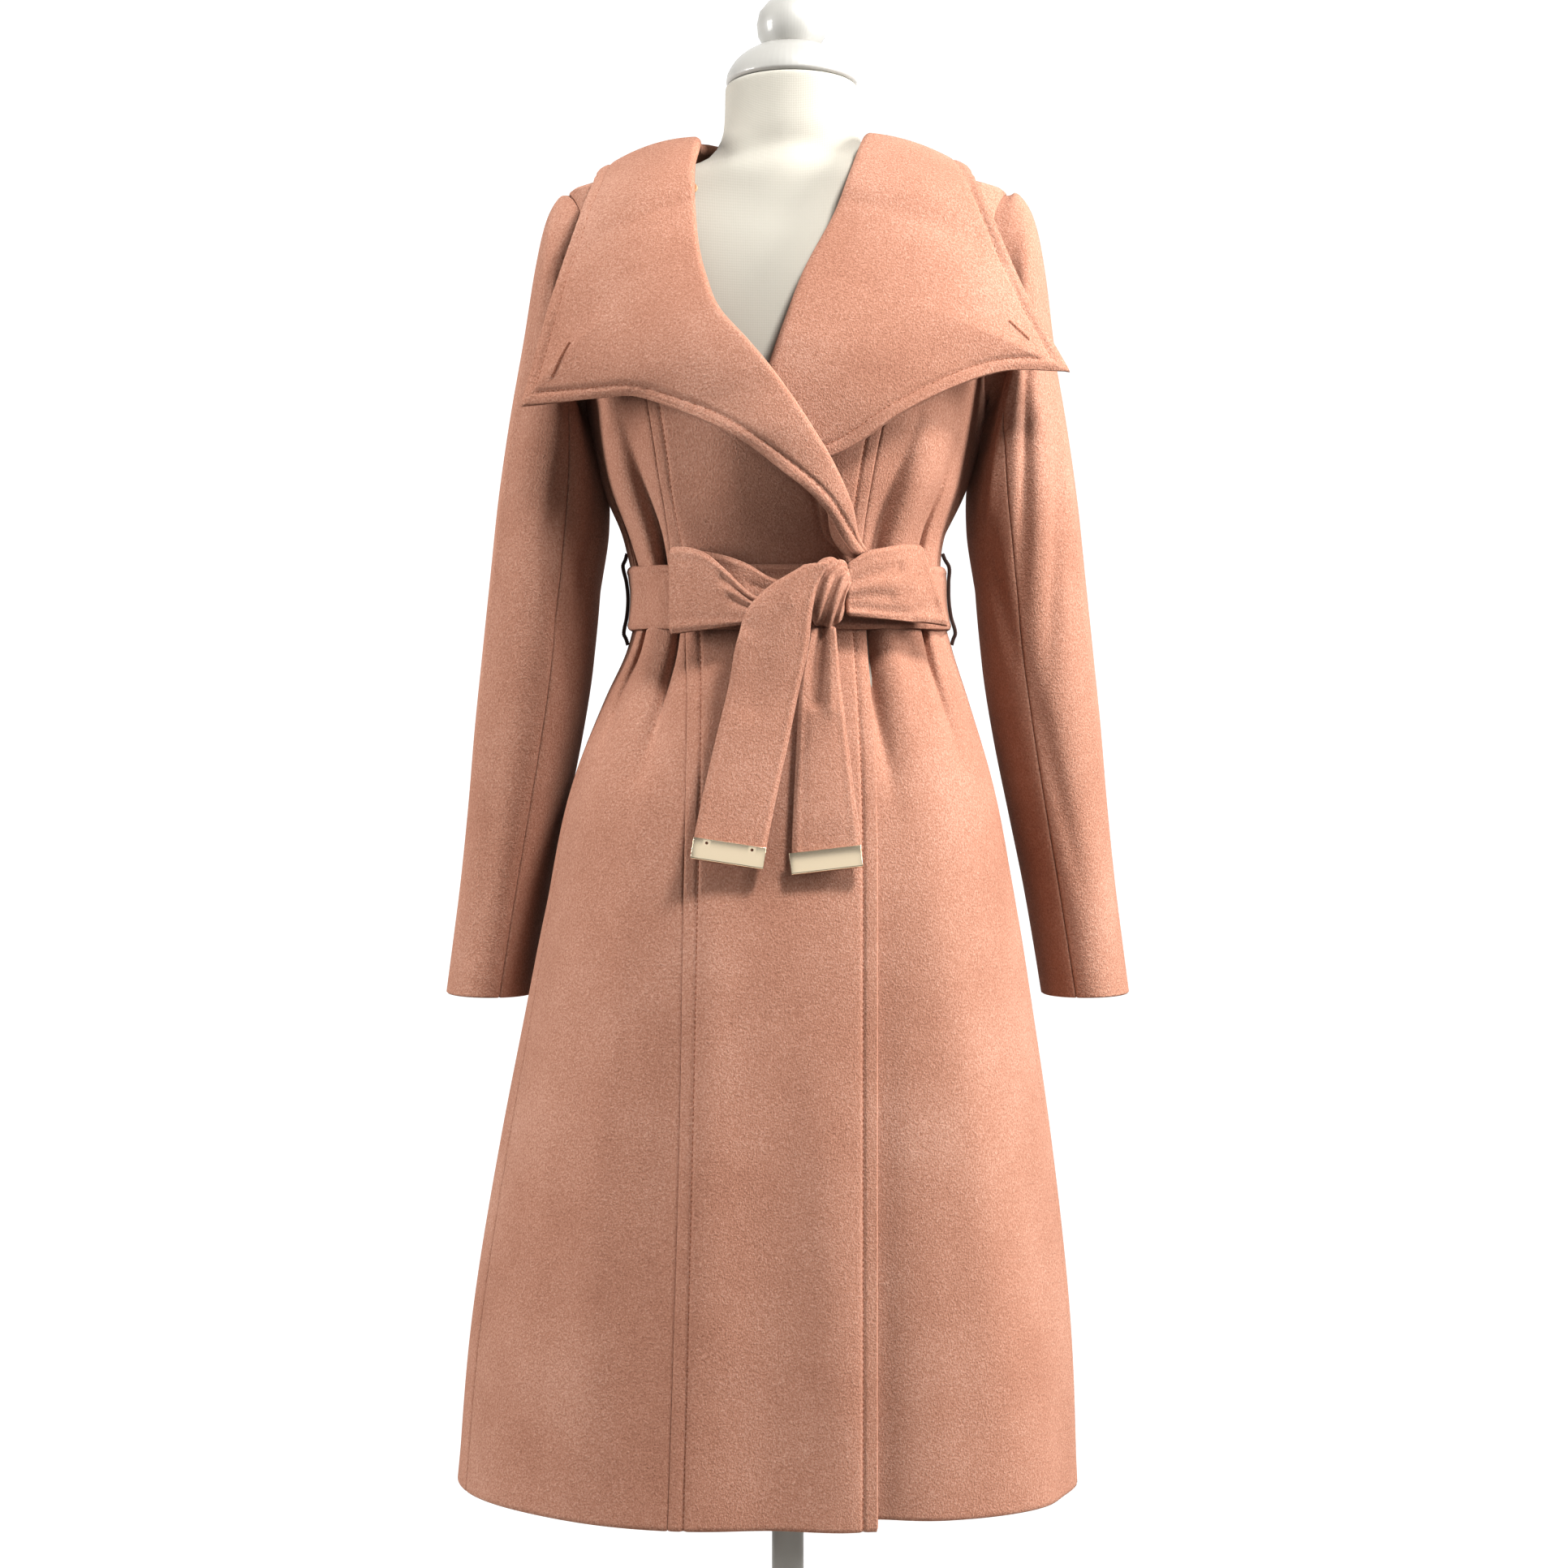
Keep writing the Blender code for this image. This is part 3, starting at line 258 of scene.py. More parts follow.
# Distance of the fronts' inner edge from the middle, own side +: height, right, left
EDGE = np.array([
    (0.324, -0.066, -0.062), (0.726, -0.066, -0.062), (0.978, -0.058, -0.06), (1.03, -0.052, -0.058),
    (1.05, -0.034, -0.052), (1.075, -0.027, -0.036), (1.1, -0.014, -0.017), (1.13, 0.001, -0.009),
    (1.165, 0.023, -0.001), (1.189, 0.041, 0.007), (1.2155, 0.059, 0.016), (1.2468, 0.074, 0.028),
    (1.278, 0.083, 0.042), (1.3046, 0.087, 0.054), (1.3285, 0.087, 0.064), (1.34, 0.087, 0.068),
    (1.3475, 0.085, 0.071), (1.354, 0.079, 0.074)])
# Distance of the princess seams from the middle: height, right, left
PRINCESS = np.array([
    (0.324, 0.088, 0.06), (0.726, 0.078, 0.052), (0.978, 0.076, 0.05), (1.034, 0.089, 0.057),
    (1.126, 0.102, 0.071), (1.165, 0.108, 0.079), (1.22, 0.112, 0.093), (1.28, 0.116, 0.108),
    (1.3285, 0.116, 0.114), (1.34, 0.108, 0.108), (1.3475, 0.096, 0.096), (1.354, 0.082, 0.082)])
WHERE = {"R": (-1, 1), "L": (1, 2)}   # sign of the side and its column


def line_psi(table, side, z):
    sign, col = WHERE[side]
    return at_x(sign * through(table[:, 0], table[:, col], z), z)


def arm_psi(side, z, cut):
    """Side line, opened by the armhole; cut is its angle in front (-) or behind (+)."""
    u = np.clip((z - ARM_MID) / ARM_HALF, -1, 1)
    inside = (z > ARM_LOW) & (z < ARM_HIGH)
    open_by = np.where(inside, np.sqrt(np.maximum(1 - u * u, 0)), 0)
    lean = math.radians(SIDE_LEAN) * (1 - ease(1.09, ARM_LOW, z))
    return WHERE[side][0] * (math.pi / 2 + math.radians(cut) * open_by - lean)


# Materials
def linear(hexa):
    rgb = [int(hexa[i:i + 2], 16) / 255 for i in (0, 2, 4)]
    return tuple(c / 12.92 if c <= 0.04045 else ((c + 0.055) / 1.055) ** 2.4 for c in rgb) + (1.0,)


def link(mat, src, out, dst, into):
    mat.node_tree.links.new(src.outputs[out], dst.inputs[into])


def node(mat, kind, links=(), **values):
    """Add one shader node, set its sockets by name and link (from node, output, to input)."""
    n = mat.node_tree.nodes.new(kind)
    for key, value in values.items():
        key = key.replace("_", " ")
        if key in n.inputs:
            n.inputs[key].default_value = value
        else:
            setattr(n, key.replace(" ", "_"), value)
    for src, out, into in links:
        link(mat, src, out, n, into)
    return n


def material(name, **base):
    mat = bpy.data.materials.new(name)
    mat.use_nodes = True
    bsdf = mat.node_tree.nodes["Principled BSDF"]
    for key, value in base.items():
        bsdf.inputs[key.replace("_", " ")].default_value = value
    return mat, bsdf


def ramp(mat, src, out, stops):
    n = node(mat, "ShaderNodeValToRGB", [(src, out, "Fac")])
    while len(n.color_ramp.elements) < len(stops):
        n.color_ramp.elements.new(0.5)
    for e, (pos, hexa) in zip(n.color_ramp.elements, stops):
        e.position = pos
        e.color = linear(hexa)
    return n


def wool(name, dark, mid, light):
    """Wool melton: fulled felt-like face, nap of 0.5 to 1 mm fibres brushed down, soft sheen."""
    mat, bsdf = material(name, Roughness=0.92, Sheen_Weight=0.10, Sheen_Roughness=0.40,
                         Sheen_Tint=linear("f2cdb8"), Specular_IOR_Level=0.2)
    co = node(mat, "ShaderNodeTexCoord")
    brushed = node(mat, "ShaderNodeMapping", [(co, "Object", "Vector")], Scale=(1.0, 1.0, 0.42))
    nap = node(mat, "ShaderNodeTexNoise", [(brushed, "Vector", "Vector")],
               Scale=1500.0, Detail=4.0, Roughness=0.62, Distortion=0.3)
    felt = node(mat, "ShaderNodeTexNoise", [(co, "Object", "Vector")],
                Scale=620.0, Detail=3.0, Roughness=0.6)
    cloud = node(mat, "ShaderNodeTexNoise", [(co, "Object", "Vector")],
                 Scale=9.0, Detail=3.0, Roughness=0.55)
    mixed = node(mat, "ShaderNodeMath", [(nap, "Fac", 0), (felt, "Fac", 1)], operation="ADD")
    more = node(mat, "ShaderNodeMath", [(cloud, "Fac", 0), (mixed, "Value", 2)],
                operation="MULTIPLY_ADD")
    more.inputs[1].default_value = 0.55
    tone = node(mat, "ShaderNodeMapRange", [(more, "Value", "Value")], From_Min=0.85, From_Max=1.70)
    col = ramp(mat, tone, "Result", [(0.0, dark), (0.5, mid), (1.0, light)])
    link(mat, col, "Color", bsdf, "Base Color")
    fine = node(mat, "ShaderNodeBump", [(nap, "Fac", "Height")], Strength=0.75, Distance=0.0008)
    bump = node(mat, "ShaderNodeBump", [(felt, "Fac", "Height"), (fine, "Normal", "Normal")],
                Strength=0.65, Distance=0.0012)
    link(mat, bump, "Normal", bsdf, "Normal")
    return mat


# Camel wool melton, and the matt thread that sews it, painted darker than the cloth as the shade in its stitch
# dimples
MELTON = wool("wool_melton", "885d4b", "a47a67", "bf9b8a")
SHADED_THREAD = wool("sewing_thread", "7c4d3a", "8f5d48", "a06c56")


# Meshes
def build(name, verts, faces, mat, nodes=()):
    """Smooth mesh with its faces outward, handed over."""
    mesh = bpy.data.meshes.new(name)
    mesh.from_pydata(np.asarray(verts, float).tolist(), [], faces)
    v = np.asarray(verts, float)
    quads = [f for f in faces if len(f) == 4]
    tri = np.array([(f[0], f[1], f[2]) for f in faces] + [(f[0], f[2], f[3]) for f in quads])
    if np.einsum("ij,ij->i", v[tri[:, 0]], np.cross(v[tri[:, 1]], v[tri[:, 2]])).sum() < 0:
        mesh.flip_normals()
    mesh.polygons.foreach_set("use_smooth", np.full(len(mesh.polygons), True))
    mesh.materials.append(mat)
    mesh.update()
    obj = bpy.data.objects.new(name, mesh)
    bpy.context.scene.collection.objects.link(obj)
    declare(obj, nodes)
    return obj


def declare(obj, nodes):
    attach(obj, "root")
    if nodes:
        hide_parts(*nodes)


def cloth(name, outer, inner, nodes, round_by=0.45, wrap=False):
    """Closed thin wall of cloth between two grids, with a rounded rim, handed over in place of its solids."""
    nu, nv = outer.shape[:2]
    base = nu * nv
    idx = np.arange(base).reshape(nu, nv)
    cols = np.concatenate([idx, idx[:, :1]], axis=1) if wrap else idx
    q = np.stack([cols[:-1, :-1], cols[:-1, 1:], cols[1:, 1:], cols[1:, :-1]], axis=-1).reshape(-1, 4)
    faces = q.tolist() + (q[:, ::-1] + base).tolist()
    verts = [outer.reshape(-1, 3), inner.reshape(-1, 3)]
    loops = []
    if wrap:
        loops += [(idx[0][::-1], idx[1][::-1]), (idx[-1], idx[-2])]
    else:
        around = np.concatenate([idx[0, :-1], idx[:-1, -1], idx[-1, :0:-1], idx[:0:-1, 0]])
        near = np.concatenate([idx[1, :-1], idx[:-1, -2], idx[-2, :0:-1], idx[:0:-1, 1]])
        loops.append((around[::-1], near[::-1]))
    count = 2 * base
    flat_o, flat_i = outer.reshape(-1, 3), inner.reshape(-1, 3)
    for rim, near in loops:
        away = unit(flat_o[rim] - flat_o[near])
        thick = np.linalg.norm(flat_o[rim] - flat_i[rim], axis=1, keepdims=True)
        verts.append((flat_o[rim] + flat_i[rim]) / 2 + away * thick * round_by)
        n = len(rim)
        m = count + np.arange(n)
        nxt, mn = np.roll(rim, -1), np.roll(m, -1)
        faces += np.stack([rim, nxt, mn, m], axis=1).tolist()
        faces += np.stack([m, mn, nxt + base, rim + base], axis=1).tolist()
        count += n
    obj = build(name, np.concatenate(verts), faces, MELTON, nodes)


def hand_over(obj, name, mat, node, angle=40):
    """Apply what is on a hard piece, clear its transforms, shade it and hand it over."""
    obj.name = name
    bpy.ops.object.select_all(action="DESELECT")
    obj.select_set(True)
    apply_all(obj)
    bpy.ops.object.transform_apply(location=True, rotation=True, scale=True)
    bpy.ops.object.shade_smooth_by_angle(angle=math.radians(angle))
    obj.data.materials.clear()
    obj.data.materials.append(mat)
    declare(obj, [node])


def mode(name):
    bpy.ops.object.mode_set(mode=name)


def apply_all(obj):
    bpy.context.view_layer.objects.active = obj
    for m in list(obj.modifiers):
        bpy.ops.object.modifier_apply(modifier=m.name)


def bevel(obj, width, segments, degrees):
    """Ease the edges that are sharper than an angle."""
    m = obj.modifiers.new("edges", "BEVEL")
    m.width, m.segments, m.limit_method, m.angle_limit = width, segments, "ANGLE", math.radians(degrees)


def drill(obj, sides, radius, depth, matrix):
    """Cut a round hole after what is on the piece already."""
    bpy.ops.mesh.primitive_cylinder_add(vertices=sides, radius=radius, depth=depth)
    tool = bpy.context.active_object
    tool.matrix_world = matrix
    cut = obj.modifiers.new("hole", "BOOLEAN")
    cut.operation, cut.object, cut.solver = "DIFFERENCE", tool, "EXACT"
    apply_all(obj)
    bpy.data.objects.remove(tool, do_unlink=True)


def tube(faces, base, count, sides):
    """Add the faces of a closed tube of rings that start at vertex base."""
    for i in range(count - 1):
        row = base + i * sides
        faces += [(row + k, row + (k + 1) % sides, row + sides + (k + 1) % sides, row + sides + k)
                  for k in range(sides)]
    last = base + (count - 1) * sides
    faces += [tuple(base + k for k in range(sides - 1, -1, -1)), tuple(last + k for k in range(sides))]


# Sewing: each stitch is a short thread lying in its groove
stitch_v, stitch_f = [], []


def sew(points, normals, pitch=0.0042, length=0.0031, radius=0.00042, sink=0.00010):
    """Row of thread stitches along a line of points on the cloth."""
    run = length_along(points)
    at = np.arange(pitch / 2, run[-1] - pitch / 2, pitch)
    on = lambda line, where: np.stack([np.interp(where, run, line[:, k]) for k in range(3)], axis=1)
    up = unit(on(normals, at))
    along = unit(on(points, at + 0.0008) - on(points, at - 0.0008))
    across = unit(np.cross(along, up))
    for c, t, w, u in zip(on(points, at), along, across, up):
        tube(stitch_f, len(stitch_v), 4, 6)
        for s, r, drop in ((-0.5, 0.35, 1.6), (-0.3, 1.0, 0.2), (0.3, 1.0, 0.2), (0.5, 0.35, 1.6)):
            o = c + t * s * length - u * (sink + drop * radius * 0.5)
            stitch_v.extend(o + radius * r * (math.cos(a) * w + math.sin(a) * u)
                            for a in np.arange(6) * math.pi / 3)


# Coat panels
ROWS = np.concatenate([
    np.linspace(HEM_Z, 0.332, 4)[:-1], np.linspace(0.332, 0.88, 80)[:-1],
    np.linspace(0.88, ARM_LOW, 82)[:-1], ARM_MID - ARM_HALF * np.cos(np.linspace(0, math.pi, 57)),
    np.linspace(ARM_HIGH, NECK_Z, 12)[1:]])
SEAM_STEPS = np.array([0.00016, 0.0006, 0.0013, 0.0024, 0.0042])
CENTRE_COLS, SIDE_COLS, BACK_COLS = 26, 60, 66
TOPSTITCH = (0.0095, 0.0100)        # from the front's edge, from the princess seam
STITCH_TOPS = (1.02, 1.30)          # where they end, at the belt and under the collar
STITCH_DEEP, HEM_LIFT, LIFT_TOP = 0.0010, 0.008, 0.40
STITCH_STEPS = np.array([-0.0034, -0.0022, -0.0013, -0.0006, 0.0, 0.0006, 0.0013, 0.0022, 0.0034])


def hem_lift(side, psi, z):
    """The left front's hem hangs a little higher at the overlap."""
    if side == "R":
        return z
    share = np.clip((LIFT_TOP - z) / (LIFT_TOP - HEM_Z), 0, 1)
    return z + HEM_LIFT * np.maximum(np.cos(psi), 0) ** 0.5 * share


def groove(d, at, wide=0.0015, deep=0.0011):
    return -deep * bell(d - at, wide)


def seam_drop(d, deep=SEAM_DEEP):
    """Cloth rolling down into a seam."""
    return -deep * bell(d, 0.0009, 1.3)


def panel(name, side, a, b, cols, arm="", stitch=None):
    """One panel between two lines of angle, a and b; arm names the line that the armhole opens.

    A front's centre has a free edge at a and topstitches at two distances, from a and from b.
    """
    r = ring((a + b) / 2, ROWS)
    width = (np.abs(b - a) * r)[:, None]
    near = [np.concatenate([SEAM_STEPS, at + STITCH_STEPS]) if at else SEAM_STEPS for at in stitch or (0, 0)]
    fit = np.minimum(1, width / (near[0][-1] + near[1][-1] + 0.004) * 0.8)
    da, db = near[0] * fit, near[1][::-1] * fit
    t = np.linspace(0, 1, cols + 1)[1:-1]
    mid = da[:, -1:] + (width - db[:, :1] - da[:, -1:]) * t
    d = np.concatenate([da, mid, width - db], axis=1)
    psi = a[:, None] + np.sign(b - a)[:, None] * d / r[:, None]
    outer, n = skin(side, psi, hem_lift(side, psi, ROWS[:, None] + 0 * psi))
    soft = SEAM_DEEP - ARM_SOFT * ease(1.15, 1.17, ROWS)[:, None]
    low = seam_drop(width - d, soft if arm == "b" else SEAM_DEEP)
    if stitch:
        low = low + groove(d, stitch[0] * fit) + groove(width - d, stitch[1] * fit)
    else:
        low = low + seam_drop(d, soft if arm == "a" else SEAM_DEEP)
    cloth("coat_" + name, outer + low[..., None] * n, outer - WALL * n, [name])
    if stitch:
        for at, line, way, top in zip(stitch, (a, b), (1, -1), STITCH_TOPS):
            p = line + way * np.sign(b - a) * at / r
            points, up = skin(side, p, hem_lift(side, p, ROWS))
            keep = (fit[:, 0] > 0.99) & (ROWS < top)
            sew((points - STITCH_DEEP * up)[keep], up[keep])


for side, word in SIDES:
    edge, seam = line_psi(EDGE, side, ROWS), line_psi(PRINCESS, side, ROWS)
    front, behind = arm_psi(side, ROWS, -ARM_FRONT), arm_psi(side, ROWS, ARM_BACK)
    centre_back = WHERE[side][0] * math.pi + 0 * ROWS
    panel(f"front_{word}_centre", side, edge, seam, CENTRE_COLS, stitch=TOPSTITCH)
    panel(f"front_{word}_side", side, seam, front, SIDE_COLS, arm="b")
    panel(f"back_{word}", side, behind, centre_back, BACK_COLS, arm="a")

# Sleeves: outer x, outer z, inner x, inner z, middle y, half depth, own side +
SLEEVE = np.array([
    (0.18, 1.3265, 0.1575, 1.1672, 0.002, 0.047), (0.19, 1.308, 0.164, 1.159, 0.003, 0.053),
    (0.1985, 1.272, 0.156, 1.135, 0.004, 0.059), (0.208, 1.215, 0.1475, 1.102, 0.006, 0.062),
    (0.2195, 1.152, 0.1455, 1.066, 0.009, 0.062), (0.229, 1.09, 0.148, 1.03, 0.013, 0.061),
    (0.236, 1.03, 0.1515, 0.99, 0.018, 0.06), (0.243, 0.97, 0.157, 0.945, 0.024, 0.059),
    (0.25, 0.91, 0.166, 0.895, 0.031, 0.058), (0.256, 0.85, 0.178, 0.84, 0.039, 0.057),
    (0.263, 0.79, 0.19, 0.785, 0.047, 0.056), (0.27, 0.74, 0.199, 0.737, 0.053, 0.055),
    (0.276, 0.698, 0.206, 0.696, 0.057, 0.055)])
# Sleeve folds: turn from the outer edge in degrees (front +) at the top, at the low end,
# share of the length at the top, at the low end, half width in degrees, depth (out +)
SLEEVE_FOLDS = {
    "R": [
        (40, 28, 0.1, 0.78, 7, 0.0016), (202, 202, 0.02, 0.44, 28, 0.006), (204, 204, -0.05, 0.2, 28, 0.008),
        (120, 96, 0.16, 0.46, 11, -0.003), (160, 132, 0.26, 0.52, 9, -0.0032),
        (100, 150, 0.44, 0.66, 12, -0.0026), (60, 74, 0.56, 0.95, 14, -0.002),
        (-140, -110, 0.05, 0.36, 10, -0.004), (-120, -160, 0.32, 0.56, 12, -0.0034),
        (-60, -100, 0.4, 0.62, 13, -0.0028), (-90, -70, 0.6, 0.95, 14, -0.002),
        (75, 60, 0.02, 0.2, 10, -0.0022)],
    "L": [
        (86, 128, 0.03, 0.24, 9, -0.0046), (202, 202, 0.02, 0.44, 28, 0.006),
        (200, 200, -0.07, 0.2, 30, 0.0122), (0, 0, -0.1, 0.28, 55, 0.0042), (66, 112, 0.14, 0.52, 9, -0.005),
        (96, 148, 0.12, 0.4, 8, 0.0026), (42, 92, 0.3, 0.62, 11, -0.003), (150, 120, 0.3, 0.58, 10, -0.003),
        (110, 84, 0.56, 0.86, 12, -0.0024), (40, 34, 0.22, 0.8, 8, 0.0014),
        (-136, -112, 0.05, 0.34, 10, -0.004), (-118, -158, 0.3, 0.56, 12, -0.0036),
        (-62, -98, 0.42, 0.64, 13, -0.0028), (-88, -72, 0.62, 0.95, 14, -0.002)]}
FRONT_SEAM, BACK_SEAM = 112.5, 247.5    # turns of the sleeve seams, degrees
SEAM_GAP, GAP_TURN = 0.0003, 0.12       # head inside the armhole, in metres and in degrees
HEAD_UNDER, HEAD_SINK = 0.0014, 0.0008  # the head starts under the coat's edge


def sleeve_mesh(side, turn, rows):
    """Fine sleeve grid: turn in radians from the outer edge, forward; rows of ring number."""
    sign = WHERE[side][0]
    arm_t = math.pi - np.abs((turn + math.pi) % (2 * math.pi) - math.pi)
    front = np.sin(turn) >= 0
    z = ARM_MID - (ARM_HALF - SEAM_GAP) * np.cos(arm_t)
    cut = np.where(front, -ARM_FRONT + GAP_TURN, ARM_BACK - GAP_TURN)
    psi = sign * (math.pi / 2 + np.radians(cut) * np.sin(arm_t))
    first, first_n = skin(side, psi, z)
    rings = [first]
    for ox, oz, ix, iz, my, deep in SLEEVE:
        pts = np.array([(ox + ix) / 2, my, (oz + iz) / 2]) + np.cos(turn)[:, None] * np.array(
            [(ox - ix) / 2, 0, (oz - iz) / 2])
        pts[:, 1] -= np.sin(turn) * deep
        pts[:, 0] *= sign
        rings.append(pts)
    rings = np.array(rings)
    grid = through(np.arange(len(rings)), rings.reshape(len(rings), -1), rows)
    grid = grid.reshape(len(rows), -1, 3)
    out = normals(grid, first_n)
    blend = ease(0, 1.0, rows)[:, None, None]
    out = unit(out * blend + first_n * (1 - blend))
    share = ((rows - 1) / (len(SLEEVE) - 1))[:, None]
    deg = np.degrees(turn)
    push = np.zeros(grid.shape[:2])
    for a, b, top, low, wide, deep in SLEEVE_FOLDS[side]:
        t = np.clip((share - top) / (low - top), 0, 1)
        gap = turn_gap(deg, a, b, t)
        push += deep * bell(gap, wide) * np.sin(math.pi * t) ** 0.8
    grid = grid + push[..., None] * out
    return grid, normals(grid, first_n)


def normals(grid, first):
    """Outward normals of a sleeve's grid, with the coat's own at its head."""
    n = grid_normal(grid)
    mid = grid.mean(axis=1, keepdims=True)
    if (n * (grid - mid)).sum() < 0:
        n = -n
    n[0] = first
    return n


SLEEVE_ROWS = np.concatenate([[0, 0.06, 0.14, 0.25, 0.4, 0.55, 0.7, 0.85],
                              np.linspace(1, 13, 118)[:-1], [12.985, 13]])
SLEEVE_R, HEAD_STEP = 0.055, 0.012      # radius at the seams, length of a row at the head
SEAM_TURNS = np.array([0.0, 0.35, 0.8, 1.6, 2.8])
SLEEVE_CUT = (("upper", BACK_SEAM - 360, FRONT_SEAM, 108), ("under", FRONT_SEAM, BACK_SEAM, 66))
for side, word in SIDES:
    for name, lo, hi, count in SLEEVE_CUT:
        mid = np.linspace(lo + 4.4, hi - 4.4, count)
        turn = np.radians(np.concatenate([lo + SEAM_TURNS, mid, hi - SEAM_TURNS[::-1]]))
        grid, n = sleeve_mesh(side, turn, SLEEVE_ROWS)
        for end, nxt in ((0, 1), (-1, -2)):
            grid[:, end] += unit(grid[:, nxt] - grid[:, end]) * SEAM_GAP / 2
        grid[0] -= unit(grid[1] - grid[0]) * HEAD_UNDER + HEAD_SINK * n[0]
        d = np.minimum(turn - turn[0], turn[-1] - turn) * SLEEVE_R
        low = seam_drop(d) + seam_drop(SLEEVE_ROWS * HEAD_STEP, SEAM_DEEP - ARM_SOFT)[:, None]
        cloth(f"coat_sleeve_{word}_{name}", grid + low[..., None] * n, grid - WALL * n,
              [f"sleeve_{word}_{name}"])

# Collar halves. Station: front rows are keyed by height, the neck runs on to the centre back
# Station, roll line: across (x, on the neck degrees), height, stand off the coat;
# outer edge x y z; own side +
COLLAR = {
    "R": np.array([
        (1.04, -0.053, 1.04, 0.008, -0.049, -0.117, 1.036),
        (1.05, -0.048, 1.05, 0.0075, -0.042, -0.122, 1.0445),
        (1.075, -0.04, 1.074, 0.0085, -0.024, -0.141, 1.07), (1.1, -0.029, 1.1, 0.009, 0.002, -0.15, 1.092),
        (1.13, -0.015, 1.128, 0.0088, 0.036, -0.15, 1.117), (1.165, 0.008, 1.165, 0.0082, 0.084, -0.134, 1.141),
        (1.189, 0.025, 1.187, 0.0078, 0.122, -0.116, 1.153),
        (1.2155, 0.043, 1.212, 0.0074, 0.162, -0.098, 1.152),
        (1.2468, 0.057, 1.243, 0.007, 0.201, -0.084, 1.151),
        (1.3046, 0.069, 1.297, 0.0064, 0.174, -0.08, 1.246), (1.34, 0.07, 1.333, 0.0064, 0.151, -0.052, 1.322),
        (1.354, 68, 1.356, 0.0064, 0.146, -0.02, 1.344), (1.3675, 90, 1.359, 0.007, 0.139, 0.004, 1.346),
        (1.39, 113, 1.361, 0.011, 0.121, 0.058, 1.337), (1.42, 146, 1.361, 0.018, 0.078, 0.112, 1.304),
        (1.454, 180, 1.361, 0.021, 0, 0.13, 1.294)]),
    "L": np.array([
        (1.1, -0.033, 1.101, 0.0064, -0.014, -0.124, 1.094), (1.13, -0.026, 1.13, 0.0064, 0.038, -0.126, 1.11),
        (1.165, -0.018, 1.163, 0.0064, 0.084, -0.124, 1.14), (1.189, -0.01, 1.187, 0.0064, 0.122, -0.114, 1.16),
        (1.2155, -0.002, 1.209, 0.0064, 0.16, -0.1, 1.174), (1.2468, 0.01, 1.241, 0.0064, 0.212, -0.082, 1.177),
        (1.3046, 0.037, 1.297, 0.0064, 0.174, -0.074, 1.25),
        (1.34, 0.048, 1.332, 0.0064, 0.1465, -0.053, 1.3225), (1.354, 60, 1.357, 0.0064, 0.1395, -0.02, 1.3465),
        (1.3717, 90, 1.361, 0.0075, 0.128, 0.004, 1.351), (1.39, 113, 1.361, 0.011, 0.116, 0.058, 1.339),
        (1.42, 146, 1.361, 0.018, 0.078, 0.112, 1.305), (1.454, 180, 1.361, 0.021, 0, 0.13, 1.294)])}
POINT_S = 1.2468          # station of the wing's point
BULGE = {"R": (0.16, 0.30), "L": (0.03, 0.30)}   # arch of the fall off the roll, low and high
COLLAR_STITCH = 0.0088    # topstitch inside the edge
SEAM_UNDER = 0.0016       # the seam lies under the front's edge
FALL_FROM = 26            # first column clear of the roll
STAND_IN = 0.0028         # the collar's stand starts so far inside the seam
BACK_LAP = 0.0005         # the halves lap so far at the centre back
TURN = np.radians(np.linspace(-90, 90, 15))
FALL = np.concatenate([np.linspace(0, 0.80, 30)[1:], 1 - np.array([
    0.19, 0.175, 0.16, 0.145, 0.13, 0.115, 0.10, 0.088, 0.076, 0.064, 0.052, 0.040, 0.028, 0.018, 0.010,
    0.004, 0])])


